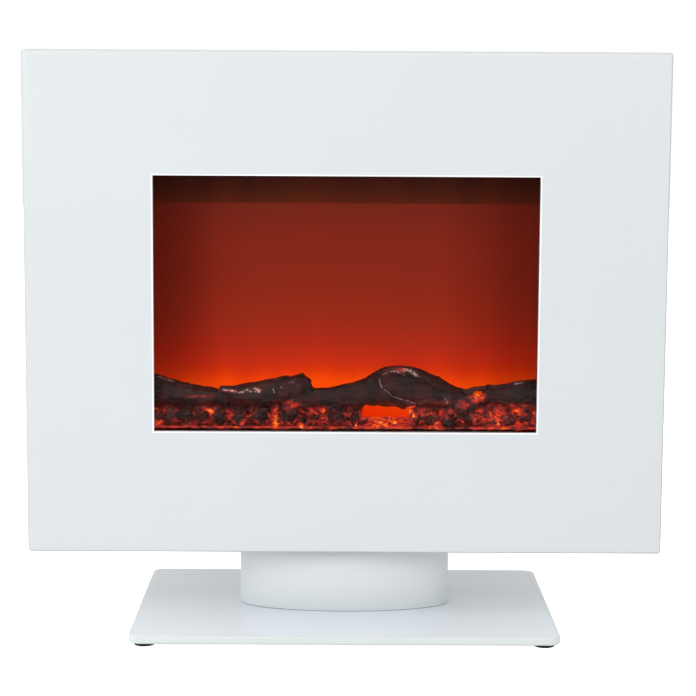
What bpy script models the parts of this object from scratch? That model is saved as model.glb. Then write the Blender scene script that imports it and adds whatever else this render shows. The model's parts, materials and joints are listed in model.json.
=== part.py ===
"""Free-standing electric fireplace: a flame box and a fan heater behind a sheet of white enamelled glass,
carried by an oval column on a glass base plate.

Metres, +Z up, the glass front faces -Y. The origin is on the floor, under the middle of the base plate.
"""

from math import cos, pi, radians, sin

import bmesh
import bpy
from mathutils import Matrix, Vector

# ---- driving dimensions ----
CLEARANCE = 0.0003  # kept between two pieces that touch
SHEET = 0.0012  # steel sheet of the casing and the firebox

BASE_WIDTH, BASE_DEPTH, BASE_THICKNESS, BASE_CORNER = 0.430, 0.285, 0.008, 0.012
FOOT_RADIUS, FOOT_HEIGHT = 0.011, 0.0027
FOOT_X, FOOT_Y = 0.199, 0.130
COLUMN_HALF_WIDTH, COLUMN_HALF_DEPTH, COLUMN_WALL = 0.110, 0.044, 0.002

GLASS_WIDTH, GLASS_HEIGHT, GLASS_THICKNESS = 0.650, 0.510, 0.005
GLASS_FRONT_Y = -0.060
GLASS_ABOVE_BASE = 0.066
WINDOW_WIDTH, WINDOW_HEIGHT = 0.390, 0.260
WINDOW_ABOVE_GLASS_EDGE = 0.1255

CASE_HALF_WIDTH = 0.280
CASE_FRONT_Y, CASE_BACK_Y = -0.0517, 0.0565
CASE_BOTTOM, CASE_TOP = 0.105, 0.559
PAN_DEPTH = 0.013  # rim of the pressed top and bottom pans

FIREBOX_HALF_WIDTH = 0.200
FIREBOX_FLOOR, FIREBOX_CEILING = 0.200, 0.4662  # the faces that the firebox shows inside
SCREEN_FRONT_Y, SCREEN_THICKNESS = -0.005, 0.003
MASK_BOTTOM = 0.433

ROTOR_Y, ROTOR_Z = 0.020, 0.228
WHEEL_Y, WHEEL_Z, WHEEL_RADIUS, WHEEL_HALF_LENGTH = 0.018, 0.508, 0.028, 0.095
SCROLL_HALF_LENGTH = 0.100

SWITCH_Y, SWITCH_PIVOT_X = 0.007, 0.2765
SWITCH_HEIGHTS = {"heat_high_switch": 0.362, "heat_low_switch": 0.394, "power_switch": 0.426}
ROCK = radians(8)  # a rocker stands this far either side of the middle
KNOB_Z = 0.325
GLAND_X, GLAND_Z = 0.240, 0.150

# ---- levels and planes worked out from them ----
BASE_UNDERSIDE = FOOT_HEIGHT + CLEARANCE
BASE_TOP = BASE_UNDERSIDE + BASE_THICKNESS
GLASS_BOTTOM = BASE_TOP + GLASS_ABOVE_BASE
GLASS_MIDDLE = GLASS_BOTTOM + GLASS_HEIGHT / 2
GLASS_BACK_Y = GLASS_FRONT_Y + GLASS_THICKNESS
WINDOW_MIDDLE = GLASS_BOTTOM + WINDOW_ABOVE_GLASS_EDGE + WINDOW_HEIGHT / 2
CASE_MIDDLE = (CASE_BOTTOM + CASE_TOP) / 2
FACE_HEIGHT = CASE_TOP - CASE_BOTTOM - 2 * PAN_DEPTH - 2 * CLEARANCE
COVER_SCREW_X = 0.270
COVER_SCREW_HEIGHTS = (CASE_BOTTOM + 0.030, CASE_MIDDLE, CASE_TOP - 0.030)
BASE_BOLTS = [(x, y) for x in (-0.070, 0.070) for y in (-0.022, 0.022)]
COLUMN_SCREWS = [(-0.070, 0.0), (0.070, 0.0)]

# How a piece drawn in its own XY plane is stood up.
FACING_FRONT = (pi / 2, 0, 0)  # x to +X, y to +Z
FACING_SIDE = (pi / 2, 0, pi / 2)  # x to +Y, y to +Z
ALONG_X = (0, pi / 2, 0)  # a turned piece's axis, local +Z, to +X
ALONG_Y = (-pi / 2, 0, 0)  # and to +Y


# ---- tools ----
def clear_scene():
    for obj in list(bpy.data.objects):
        bpy.data.objects.remove(obj)


def new_collection(name):
    collection = bpy.data.collections.new(name)
    bpy.context.scene.collection.children.link(collection)
    return collection


def material(name, colour, roughness, metallic=0.0):
    made = bpy.data.materials.new(name)
    made.use_nodes = True
    shader = made.node_tree.nodes["Principled BSDF"]
    shader.inputs["Base Color"].default_value = (*colour, 1.0)
    shader.inputs["Roughness"].default_value = roughness
    shader.inputs["Metallic"].default_value = metallic
    return made


def put(name, data, finish, location=(0, 0, 0), rotation=(0, 0, 0)):
    """A new object in its place. A piece with no finish is a helper, and the scene doesn't show it."""
    obj = bpy.data.objects.new(name, data)
    obj.location = location
    obj.rotation_euler = rotation
    if finish is None:
        HELPERS.objects.link(obj)
        obj.hide_render = True
        obj.display_type = "WIRE"
    else:
        PARTS.objects.link(obj)
        data.materials.append(finish)
    return obj


def mesh_from(name, fill):
    """A mesh that fill(bm) makes in a bmesh."""
    mesh = bpy.data.meshes.new(name)
    bm = bmesh.new()
    fill(bm)
    bm.to_mesh(mesh)
    bm.free()
    return mesh


def box(name, low, high, finish=None, bevel=0.0):
    """A block between two corners."""
    low, high = Vector(low), Vector(high)
    size = Matrix.Diagonal((*(high - low), 1.0))
    mesh = mesh_from(name, lambda bm: bmesh.ops.create_cube(bm, size=1.0, matrix=size))
    obj = put(name, mesh, finish, (low + high) / 2)
    if bevel:
        add_bevel(obj, bevel)
    return obj


def add_bevel(obj, width):
    modifier = obj.modifiers.new("edge", "BEVEL")
    modifier.width = width
    modifier.segments = 1
    modifier.limit_method = "ANGLE"
    modifier.angle_limit = radians(60)


def cylinder(name, centre, radius, length, rotation=(0, 0, 0), finish=None, sides=24):
    def fill(bm):
        bmesh.ops.create_cone(
            bm, cap_ends=True, segments=sides, radius1=radius, radius2=radius, depth=length
        )

    obj = put(name, mesh_from(name, fill), finish, centre, rotation)
    smooth(obj)
    return obj


def smooth(obj):
    obj.data.shade_smooth()
    obj.data.set_sharp_from_angle(angle=radians(40))


def rectangle(width, height, centre=(0, 0)):
    x, y = centre
    return [(x + i * width / 2, y + j * height / 2) for i, j in ((-1, -1), (1, -1), (1, 1), (-1, 1))]


def rounded_rectangle(width, height, radius, centre=(0, 0), steps=4):
    points = []
    for quarter, (i, j) in enumerate(((1, 1), (-1, 1), (-1, -1), (1, -1))):
        middle = Vector(centre) + Vector((i * (width / 2 - radius), j * (height / 2 - radius)))
        for step in range(steps + 1):
            angle = pi / 2 * (quarter + step / steps)
            points.append(tuple(middle + radius * Vector((cos(angle), sin(angle)))))
    return points


def ellipse(half_width, half_height, centre=(0, 0), sides=16):
    turns = [2 * pi * i / sides for i in range(sides)]
    return [(centre[0] + half_width * cos(t), centre[1] + half_height * sin(t)) for t in turns]


def plate(name, outlines, thickness, finish, location=(0, 0, 0), rotation=(0, 0, 0), bevel=0.0):
    """A flat piece cut from sheet. The first outline is its edge and the others are holes."""
    curve = bpy.data.curves.new(name, "CURVE")
    curve.dimensions = "2D"
    curve.fill_mode = "BOTH"
    curve.extrude = thickness / 2
    for outline in outlines:
        spline = curve.splines.new("POLY")
        spline.points.add(len(outline) - 1)
        for point, (x, y) in zip(spline.points, outline):
            point.co = (x, y, 0, 1)
        spline.use_cyclic_u = True
    obj = put(name, curve, finish, location, rotation)
    if bevel:
        weld = obj.modifiers.new("caps", "WELD")
        weld.merge_threshold = 0.00001
        add_bevel(obj, bevel)
    return obj


def bent_sheet(name, path, along, start, end, thickness, finish=None):
    """Sheet folded along a path and as long as start to end. The path is the middle of the sheet's thickness:
    (y, z) points for a sheet along X, and (x, y) points for one along Z."""

    def corner(point, at):
        return (at, *point) if along == "X" else (*point, at)

    def fill(bm):
        rows = [[bm.verts.new(corner(point, at)) for point in path] for at in (start, end)]
        for i in range(len(path) - 1):
            bm.faces.new((rows[0][i], rows[0][i + 1], rows[1][i + 1], rows[1][i]))

    obj = put(name, mesh_from(name, fill), finish)
    modifier = obj.modifiers.new("thickness", "SOLIDIFY")
    modifier.thickness = thickness
    modifier.offset = 0
    modifier.use_even_offset = True
    return obj


def turned(name, profile, finish, location=(0, 0, 0), rotation=(0, 0, 0), sides=24, ring=False):
    """A profile of (radius, height) points turned about local Z, from the top down its outer side. A ring's
    profile closes on itself round the bore. Any other starts and ends on the axis."""

    def fill(bm):
        verts = [bm.verts.new((radius, 0, height)) for radius, height in profile]
        for a, b in zip(verts, verts[1:] + (verts[:1] if ring else [])):
            bm.edges.new((a, b))

    obj = put(name, mesh_from(name, fill), finish, location, rotation)
    modifier = obj.modifiers.new("turn", "SCREW")
    modifier.steps = modifier.render_steps = sides
    modifier.use_merge_vertices = True
    modifier.merge_threshold = 0.00001
    modifier.use_smooth_shade = False
    return obj


def combine(obj, others, operation):
    """Cuts the others from obj, or joins them to it."""
    group = bpy.data.collections.new(obj.name + "_" + operation.lower())
    HELPERS.children.link(group)
    for other in others:
        HELPERS.objects.unlink(other)
        group.objects.link(other)
    modifier = obj.modifiers.new(operation.lower(), "BOOLEAN")
    modifier.operation = operation
    modifier.operand_type = "COLLECTION"
    modifier.collection = group
    return obj


def cut(obj, *cutters):
    return combine(obj, cutters, "DIFFERENCE")


def join(obj, *others):
    return combine(obj, others, "UNION")


def pan(name, low, high, open_face, finish):
    """A shallow tray of sheet between two corners, open upwards or downwards."""

    def fill(bm):
        size = Matrix.Diagonal((*(Vector(high) - Vector(low)), 1.0))
        bmesh.ops.create_cube(bm, size=1.0, matrix=size)
        face = max(bm.faces, key=lambda f: open_face * f.normal.z)
        bmesh.ops.delete(bm, geom=[face], context="FACES_ONLY")

    obj = put(name, mesh_from(name, fill), finish, (Vector(low) + Vector(high)) / 2)
    modifier = obj.modifiers.new("thickness", "SOLIDIFY")
    modifier.thickness = SHEET
    modifier.offset = -1
    modifier.use_even_offset = True
    return obj


# ---- the stand ----
def make_base_plate():
    """Thick glass, enamelled white underneath, drilled for the column's bolts."""
    holes = [ellipse(0.0035, 0.0035, at) for at in BASE_BOLTS]
    outline = rounded_rectangle(BASE_WIDTH, BASE_DEPTH, BASE_CORNER, steps=6)
    middle = (0, 0, BASE_UNDERSIDE + BASE_THICKNESS / 2)
    plate("base_plate", [outline, *holes], BASE_THICKNESS, ENAMELLED_GLASS, middle, bevel=0.0008)
    for depth, y in (("front", -FOOT_Y), ("back", FOOT_Y)):
        for side, x in (("left", -FOOT_X), ("right", FOOT_X)):
            profile = [(0, FOOT_HEIGHT), (FOOT_RADIUS, FOOT_HEIGHT), (FOOT_RADIUS - 0.001, 0), (0, 0)]
            turned(f"foot_{depth}_{side}", profile, RUBBER, (x, y, 0), sides=32)


def make_column():
    """An oval tube over two oval flanges. Bolts come up through the base, and screws down through the casing.
    A bolt's or a screw's head is wider than its shank and rests against the sheet that it holds."""
    low, high = BASE_TOP + CLEARANCE, CASE_BOTTOM - CLEARANCE
    outer = ellipse(COLUMN_HALF_WIDTH, COLUMN_HALF_DEPTH, sides=64)
    inner_width, inner_depth = COLUMN_HALF_WIDTH - COLUMN_WALL, COLUMN_HALF_DEPTH - COLUMN_WALL
    inner = ellipse(inner_width, inner_depth, sides=64)
    plate("column", [outer, inner], high - low, WHITE_STEEL, (0, 0, (low + high) / 2))

    flange = 0.003
    edge = ellipse(inner_width - CLEARANCE, inner_depth - CLEARANCE, sides=64)
    bolt_holes = [ellipse(0.0034, 0.0034, at) for at in BASE_BOLTS]
    screw_holes = [ellipse(0.0028, 0.0028, at) for at in COLUMN_SCREWS]
    plate("column_base_flange", [edge, *bolt_holes], flange, ZINC_STEEL, (0, 0, low + flange / 2))
    plate("column_top_flange", [edge, *screw_holes], flange, ZINC_STEEL, (0, 0, high - flange / 2))

    head_top = BASE_UNDERSIDE - CLEARANCE
    head, shank, tip, head_bottom = 0.0065, 0.003, 0.020, 0.0006
    bolt = [(0, tip), (shank, tip), (shank, head_top), (head, head_top)]
    bolt += [(head, head_bottom), (0, head_bottom)]
    for number, (x, y) in enumerate(BASE_BOLTS, 1):
        turned(f"base_bolt_{number}", bolt, ZINC_STEEL, (x, y, 0), sides=16)
    seat = SHEET + CLEARANCE
    head, shank, tip = 0.0045, 0.0024, -0.010
    screw = [(0, seat + 0.003), (head, seat + 0.003), (head, seat), (shank, seat), (shank, tip), (0, tip)]
    for number, (x, y) in enumerate(COLUMN_SCREWS, 1):
        turned(f"column_screw_{number}", screw, ZINC_STEEL, (x, y, CASE_BOTTOM), sides=16)


# ---- the glass front ----
def make_glass_front():
    """One sheet of toughened glass. Two steel angles bonded to its back hold it to the casing's sides."""
    outline = rounded_rectangle(GLASS_WIDTH, GLASS_HEIGHT, 0.004)
    middle = (0, GLASS_FRONT_Y + GLASS_THICKNESS / 2, GLASS_MIDDLE)
    plate("front_glass", [outline], GLASS_THICKNESS, ENAMELLED_GLASS, middle, FACING_FRONT, bevel=0.0008)

    gasket_front, gasket_back = GLASS_BACK_Y + CLEARANCE, CASE_FRONT_Y - CLEARANCE
    ring = [
        rounded_rectangle(WINDOW_WIDTH + 0.016, WINDOW_HEIGHT + 0.016, 0.003),
        rectangle(WINDOW_WIDTH, WINDOW_HEIGHT),
    ]
    middle = (0, (gasket_front + gasket_back) / 2, WINDOW_MIDDLE)
    plate("window_gasket", ring, gasket_back - gasket_front, WHITE_FOAM, middle, FACING_FRONT)

    angle_sheet = 0.0014
    bonded_y = GLASS_BACK_Y + CLEARANCE + angle_sheet / 2
    for side, name in ((-1, "glass_rail_left"), (1, "glass_rail_right")):
        wall_x = side * (CASE_HALF_WIDTH + 0.0012)
        path = [(side * 0.316, bonded_y), (wall_x, bonded_y), (wall_x, -0.030)]
        bent_sheet(name, path, "Z", 0.135, 0.530, angle_sheet, ZINC_STEEL)


# ---- the casing ----
def side_sheet(name, side):
    """A side of the casing: sheet with a flange turned in along its front and back edges."""
    web_x = side * (CASE_HALF_WIDTH - SHEET - CLEARANCE - SHEET / 2)
    flange_x = side * 0.2655
    front_y = CASE_FRONT_Y + SHEET + CLEARANCE + SHEET / 2
    back_y = CASE_BACK_Y - SHEET - CLEARANCE - SHEET / 2
    path = [(flange_x, front_y), (web_x, front_y), (web_x, back_y), (flange_x, back_y)]
    low, high = CASE_BOTTOM + SHEET + CLEARANCE, CASE_TOP - SHEET - CLEARANCE
    sheet = bent_sheet(name, path, "Z", low, high, SHEET, WHITE_STEEL)
    screw_holes = [
        cylinder(f"{name}_hole_{i}", (side * COVER_SCREW_X, back_y, z), 0.0018, 0.004, ALONG_Y, sides=12)
        for i, z in enumerate(COVER_SCREW_HEIGHTS)
    ]
    return cut(sheet, *screw_holes)


def louvres(rows, columns, first_row):
    """Outlines of the back cover's air slots, drawn about the cover's middle."""
    heights = [first_row + 0.009 * row - CASE_MIDDLE for row in range(rows)]
    places = [(0.070 * column, height) for height in heights for column in columns]
    return [rounded_rectangle(0.058, 0.004, 0.0019, place, steps=1) for place in places]


def make_casing():
    low, high = (-CASE_HALF_WIDTH, CASE_FRONT_Y), (CASE_HALF_WIDTH, CASE_BACK_Y)
    bottom = pan("casing_bottom", (*low, CASE_BOTTOM), (*high, CASE_BOTTOM + PAN_DEPTH), 1, WHITE_STEEL)
    for number, place in enumerate(COLUMN_SCREWS):
        cut(bottom, cylinder(f"bottom_hole_{number}", (*place, CASE_BOTTOM), 0.0028, 0.004, sides=16))
    top = pan("casing_top", (*low, CASE_TOP - PAN_DEPTH), (*high, CASE_TOP), -1, WHITE_STEEL)
    cut(top, box("outlet_cutout", (-0.108, -0.041, CASE_TOP - 0.004), (0.108, -0.009, CASE_TOP + 0.004)))

    side_sheet("casing_left", -1)
    right = side_sheet("casing_right", 1)
    openings = [
        box(f"{name}_cutout", (0.274, SWITCH_Y - 0.0086, z - 0.0119), (0.284, SWITCH_Y + 0.0086, z + 0.0119))
        for name, z in SWITCH_HEIGHTS.items()
    ]
    openings.append(cylinder("knob_cutout", (0.279, SWITCH_Y, KNOB_Z), 0.005, 0.010, ALONG_X))
    cut(right, *openings)

    face_width = 2 * (CASE_HALF_WIDTH - 0.003)
    opening = rectangle(WINDOW_WIDTH + 0.006, WINDOW_HEIGHT + 0.006, (0, WINDOW_MIDDLE - CASE_MIDDLE))
    face = [rectangle(face_width, FACE_HEIGHT), opening]
    plate("front_plate", face, SHEET, BLACK_STEEL, (0, CASE_FRONT_Y + SHEET / 2, CASE_MIDDLE), FACING_FRONT)


def make_back_cover():
    """A flat cover with air slots behind the fan and below, the cord's gland, and six screws."""
    cover = [rounded_rectangle(2 * CASE_HALF_WIDTH - 0.0006, FACE_HEIGHT, 0.002, steps=2)]
    columns = (-1.5, -0.5, 0.5, 1.5)
    cover += louvres(7, columns, 0.478) + louvres(4, columns, 0.136)
    screws = [(side * COVER_SCREW_X, z) for side in (-1, 1) for z in COVER_SCREW_HEIGHTS]
    cover += [ellipse(0.0018, 0.0018, (x, z - CASE_MIDDLE), sides=12) for x, z in screws]
    cover.append(ellipse(0.0066, 0.0066, (GLAND_X, GLAND_Z - CASE_MIDDLE), sides=24))
    plate("back_cover", cover, SHEET, WHITE_STEEL, (0, CASE_BACK_Y - SHEET / 2, CASE_MIDDLE), FACING_FRONT)

    dome = [(0, 0.0023), (0.0025, 0.0021), (0.0035, 0.0012), (0.0035, 0.0003)]
    screw = dome + [(0.0015, 0.0003), (0.0015, -0.0085), (0, -0.0085)]
    for number, (x, z) in enumerate(screws, 1):
        turned(f"cover_screw_{number}", screw, ZINC_STEEL, (x, CASE_BACK_Y, z), ALONG_Y, sides=16)

    gland = [
        (0.0036, 0.0095), (0.0055, 0.0095), (0.0070, 0.0035), (0.0090, 0.0035), (0.0090, 0.0003),
        (0.0062, 0.0003), (0.0062, -0.0015), (0.0090, -0.0015), (0.0090, -0.0055), (0.0062, -0.0055),
        (0.0062, -0.0100), (0.0036, -0.0100),
    ]
    turned("cord_gland", gland, BLACK_PLASTIC, (GLAND_X, CASE_BACK_Y, GLAND_Z), ALONG_Y, ring=True)


def make_outlet_grille():
    """A black moulding that sits over the warm-air outlet in the casing's top."""
    slots = [rectangle(0.0036, 0.026, (0.008 * (i - 12.5), 0)) for i in range(26)]
    outline = rounded_rectangle(0.224, 0.042, 0.004)
    height = 0.003
    place = (0, -0.025, CASE_TOP + CLEARANCE + height / 2)
    plate("outlet_grille", [outline, *slots], height, BLACK_PLASTIC, place)


# ---- the firebox ----
def make_firebox():
    depth = (CASE_FRONT_Y + SHEET + CLEARANCE, 0.050)
    floor_back = -0.001
    floor = [rectangle(2 * FIREBOX_HALF_WIDTH, floor_back - depth[0]), rectangle(0.350, 0.018)]
    middle = (0, (depth[0] + floor_back) / 2, FIREBOX_FLOOR - SHEET / 2)
    plate("firebox_floor", floor, SHEET, BLACK_STEEL, middle)
    middle = (0, sum(depth) / 2, FIREBOX_CEILING + SHEET / 2)
    ceiling = [rectangle(2 * FIREBOX_HALF_WIDTH, depth[1] - depth[0])]
    plate("firebox_ceiling", ceiling, SHEET, BLACK_STEEL, middle)

    height = FIREBOX_CEILING - FIREBOX_FLOOR + 2 * SHEET
    middle_z = (FIREBOX_CEILING + FIREBOX_FLOOR) / 2
    shaft_hole = ellipse(0.0046, 0.0046, (ROTOR_Y - sum(depth) / 2, ROTOR_Z - middle_z))
    side = [rectangle(depth[1] - depth[0], height), shaft_hole]
    for name, sign in (("firebox_side_left", -1), ("firebox_side_right", 1)):
        place = (sign * (FIREBOX_HALF_WIDTH + 0.0015), sum(depth) / 2, middle_z)
        plate(name, side, SHEET, BLACK_STEEL, place, FACING_SIDE)

    x = FIREBOX_HALF_WIDTH - 0.0005
    low, high = FIREBOX_FLOOR + CLEARANCE, FIREBOX_CEILING - CLEARANCE
    back = SCREEN_FRONT_Y + SCREEN_THICKNESS
    box("flame_screen", (-x, SCREEN_FRONT_Y, low), (x, back, high), FLAME_ACRYLIC)
    mask_back = SCREEN_FRONT_Y - CLEARANCE
    box("screen_mask", (-x, mask_back - SHEET, MASK_BOTTOM), (x, mask_back, high), BLACK_STEEL)
    path = [(0.0015, 0.2006), (0.040, 0.2006), (0.048, 0.2090), (0.048, 0.4640)]
    bent_sheet("rear_reflector", path, "X", -x, x, 0.0008, MIRROR_SHEET)


# Centre lines of the logs: (x, z, radius) points, and how far back each lies.
LOGS = {
    "left_log": (
        -0.025,
        [(-0.197, 0.2405, 0.0155), (-0.171, 0.2365, 0.0128), (-0.150, 0.2340, 0.0113),
         (-0.133, 0.2320, 0.0102), (-0.116, 0.2275, 0.0067)],
    ),
    "broken_log": (
        -0.028,
        [(-0.130, 0.2430, 0.0031), (-0.110, 0.2365, 0.0105), (-0.086, 0.2380, 0.0130),
         (-0.059, 0.2435, 0.0130), (-0.046, 0.2430, 0.0155)],
    ),
    "middle_log": (
        -0.027,
        [(-0.060, 0.2320, 0.0100), (-0.021, 0.2325, 0.0110), (0.000, 0.2345, 0.0128), (0.020, 0.2390, 0.0138),
         (0.034, 0.2435, 0.0174), (0.046, 0.2465, 0.0205), (0.059, 0.2465, 0.0213), (0.072, 0.2440, 0.0208),
         (0.088, 0.2390, 0.0188), (0.104, 0.2330, 0.0160), (0.122, 0.2290, 0.0138), (0.138, 0.2270, 0.0087)],
    ),
    "right_log": (
        -0.028,
        [(0.145, 0.2395, 0.0085), (0.160, 0.2370, 0.0105), (0.181, 0.2368, 0.0156), (0.197, 0.2355, 0.0200)],
    ),
}
LOG_FLATTENING = 0.8  # a log is this much thinner front to back than it is high
COAL_PLACES = [-0.180 + 0.025 * i for i in range(8)] + [0.076, 0.097, 0.119, 0.139, 0.160, 0.183]
COAL_RADIUS, COAL_Z = 0.0100, 0.2263


def tapered_limb(name, y, points):
    """A log as a closed mesh: a curve through the points, as thick as each point says."""
    curve = bpy.data.curves.new(name, "CURVE")
    curve.dimensions = "3D"
    curve.bevel_depth = 1.0
    curve.bevel_resolution = 3
    curve.use_fill_caps = True
    spline = curve.splines.new("POLY")
    spline.points.add(len(points) - 1)
    for point, (x, z, radius) in zip(spline.points, points):
        point.co = (x, 0, z, 1)
        point.radius = radius
    guide = put(name, curve, None, (0, y, 0))
    guide.scale.y = LOG_FLATTENING
    bpy.context.view_layer.update()
    mesh = bpy.data.meshes.new_from_object(guide.evaluated_get(bpy.context.evaluated_depsgraph_get()))
    bm = bmesh.new()
    bm.from_mesh(mesh)
    bmesh.ops.remove_doubles(bm, verts=bm.verts, dist=0.000001)
    bmesh.ops.transform(bm, matrix=guide.matrix_world, verts=bm.verts)
    bmesh.ops.recalc_face_normals(bm, faces=bm.faces)
    bm.to_mesh(mesh)
    bm.free()
    bpy.data.objects.remove(guide)
    return mesh


def make_log_set():
    """Cast resin logs joined by the coals that they lie on, over a translucent bed with lamps under it."""
    limbs = {name: tapered_limb(name, *spec) for name, spec in LOGS.items()}
    log_set = put("log_set", limbs.pop("middle_log"), CHARRED_RESIN)
    others = [put(name, mesh, None) for name, mesh in limbs.items()]
    for number, x in enumerate(COAL_PLACES):

        def fill(bm):
            bmesh.ops.create_uvsphere(bm, u_segments=8, v_segments=6, radius=COAL_RADIUS)

        others.append(put(f"coal_{number}", mesh_from(f"coal_{number}", fill), None, (x, -0.028, COAL_Z)))
    join(log_set, *others)

    foot = FIREBOX_FLOOR + CLEARANCE
    slope = [(-0.048, 0.2058), (-0.040, 0.2100), (-0.025, 0.2135), (-0.009, 0.2148)]
    path = [(-0.048, foot), *slope, (-0.009, foot)]
    bent_sheet("ember_bed", path, "X", -0.1975, 0.1975, 0.002, EMBER_RESIN)


# ---- the flame drive ----
def lamp_board(name, y, z):
    """A strip circuit board with a row of lamps on top."""
    board = box(name, (-0.185, y - 0.012, z), (0.185, y + 0.012, z + 0.0016), CIRCUIT_BOARD)
    lamps = [
        box(f"{name}_lamp_{i}", (x - 0.0018, y - 0.0018, z + 0.001), (x + 0.0018, y + 0.0018, z + 0.0034))
        for i, x in enumerate(0.0264 * (n - 6.5) for n in range(14))
    ]
    return join(board, *lamps)


def make_flame_drive():
    """A slow motor turns a shaft of mirror flags, which throw the lamps' light on to the screen."""
    rotor = cylinder("flame_rotor", (0.0080, ROTOR_Y, ROTOR_Z), 0.002, 0.399, ALONG_X, MIRROR_SHEET, sides=16)
    flags = []
    for station in range(16):
        centre = Vector((0.0228 * (station - 7.5), ROTOR_Y, ROTOR_Z))
        half = Vector((0.0085, 0.014, 0.0004))
        flag = box(f"flag_{station}", centre - half, centre + half)
        flag.rotation_euler = (radians(50) * station, 0, 0)
        flags.append(flag)
    join(rotor, *flags)

    sleeve = [
        (0, 0.0180), (0.0023, 0.0180), (0.0023, 0.0240), (0.0065, 0.0240),
        (0.0065, 0.0120), (0.0030, 0.0120), (0.0030, 0.0), (0, 0.0),
    ]
    turned("rotor_coupling", sleeve, RUBBER, (-0.2110, ROTOR_Y, ROTOR_Z), ALONG_X, sides=20)
    bush = [(0.0023, 0.0075), (0.0042, 0.0075), (0.0042, 0.0021), (0.0065, 0.0021)]
    bush += [(0.0065, 0.0), (0.0023, 0.0)]
    turned("rotor_bush", bush, NYLON, (0.1985, ROTOR_Y, ROTOR_Z), ALONG_X, ring=True, sides=20)

    motor = cylinder("rotor_motor", (-0.2156, ROTOR_Y, ROTOR_Z), 0.021, 0.0260, ALONG_X, ZINC_STEEL, sides=32)
    low, high = (-0.2046, ROTOR_Y - 0.0300, ROTOR_Z - 0.006), (-0.2032, ROTOR_Y + 0.0290, ROTOR_Z + 0.006)
    ears = box("motor_ears", low, high)
    gearbox = cylinder("motor_back", (-0.2330, ROTOR_Y, ROTOR_Z), 0.012, 0.012, ALONG_X)
    join(motor, ears, gearbox)
    cut(motor, cylinder("motor_bore", (-0.2060, ROTOR_Y, ROTOR_Z), 0.0035, 0.0120, ALONG_X, sides=20))

    lamp_board("flame_lamp_board", ROTOR_Y, 0.2035)
    lamp_board("ember_lamp_board", -0.0256, 0.1880)


# ---- the fan heater ----
def make_blower_wheel():
    """A cross-flow wheel: twenty slanted blades through three discs on a shaft."""
    middle = (0.0135, WHEEL_Y, WHEEL_Z)
    wheel = cylinder("blower_wheel", middle, 0.003, 0.241, ALONG_X, DARK_PLASTIC, sides=16)
    parts = [
        cylinder(f"disc_{i}", (x, WHEEL_Y, WHEEL_Z), WHEEL_RADIUS, 0.0016, ALONG_X, sides=40)
        for i, x in enumerate((-WHEEL_HALF_LENGTH, 0, WHEEL_HALF_LENGTH))
    ]
    for i in range(20):
        angle = 2 * pi * i / 20
        blade = box(f"blade_{i}", (-WHEEL_HALF_LENGTH, -0.0042, -0.0004), (WHEEL_HALF_LENGTH, 0.0042, 0.0004))
        blade.location = (0, WHEEL_Y + 0.0225 * cos(angle), WHEEL_Z + 0.0225 * sin(angle))
        blade.rotation_euler = (angle + radians(35), 0, 0)
        parts.append(blade)
    join(wheel, *parts)


def make_blower():
    """The scroll round the wheel opens upwards. The heater stands in its outlet, the motor at its right end."""
    spiral = []
    for step in range(13):
        share = step / 12
        angle, radius = radians(-20 - 160 * share), 0.0310 + 0.0130 * share
        spiral.append((WHEEL_Y + radius * cos(angle), WHEEL_Z + radius * sin(angle)))
    front_wall = spiral + [(-0.0405, 0.5240), (-0.0405, 0.5455)]
    tongue = [(0.0140, 0.5405), (0.0040, 0.5390), (-0.0085, 0.5410), (-0.0085, 0.5455)]
    x = SCROLL_HALF_LENGTH
    scroll = bent_sheet("blower_scroll", front_wall, "X", -x, x, SHEET, ZINC_STEEL)
    pieces = [bent_sheet("tongue", tongue, "X", -x, x, SHEET)]
    for end in (-x, x):
        low, high = (end - SHEET / 2, -0.0420, 0.4690), (end + SHEET / 2, 0.0490, 0.5450)
        pieces.append(box(f"scroll_end_{end}", low, high))
    join(scroll, *pieces)
    cut(scroll, cylinder("shaft_way", (0, WHEEL_Y, WHEEL_Z), 0.0056, 0.300, ALONG_X))

    bush = [(0.0034, 0.0050), (0.0053, 0.0050), (0.0053, 0.0026), (0.0080, 0.0026)]
    bush += [(0.0080, 0.0), (0.0034, 0.0)]
    turned("blower_bush", bush, NYLON, (-0.1035, WHEEL_Y, WHEEL_Z), ALONG_X, ring=True, sides=20)

    low, high = (0.1060, WHEEL_Y - 0.020, 0.4885), (0.1220, WHEEL_Y + 0.020, 0.5290)
    motor = box("blower_motor", low, high, ZINC_STEEL, 0.002)
    coil = box("coil", (0.1030, WHEEL_Y - 0.013, 0.4780), (0.1250, WHEEL_Y + 0.013, 0.4900))
    end_bell = cylinder("end_bell", (0.1240, WHEEL_Y, WHEEL_Z), 0.012, 0.016, ALONG_X)
    join(motor, coil, end_bell)
    cut(motor, cylinder("motor_shaft_way", (0.1180, WHEEL_Y, WHEEL_Z), 0.0036, 0.050, ALONG_X, sides=20))


def make_heater():
    """Ceramic heating bars with fins between them in two end boards, and the cut-out that guards them."""
    low_y, high_y = -0.0370, -0.0110
    element = box("heater_element", (-0.0915, low_y, 0.5270), (-0.0895, high_y, 0.5430), ALUMINIUM_FIN)
    parts = [box("right_board", (0.0895, low_y, 0.5270), (0.0915, high_y, 0.5430))]
    for i, y in enumerate((-0.0345, -0.0240, -0.0135)):
        parts.append(box(f"bar_{i}", (-0.0905, y - 0.0015, 0.5290), (0.0905, y + 0.0015, 0.5410)))
    for i in range(22):
        x = 0.008 * (i - 10.5)
        parts.append(box(f"fin_{i}", (x - 0.0003, -0.0340, 0.5300), (x + 0.0003, -0.0140, 0.5400)))
    join(element, *parts)
    cylinder("thermal_cutout", (0.070, -0.0445, 0.5350), 0.008, 0.0050, ALONG_Y, ZINC_STEEL)


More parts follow.
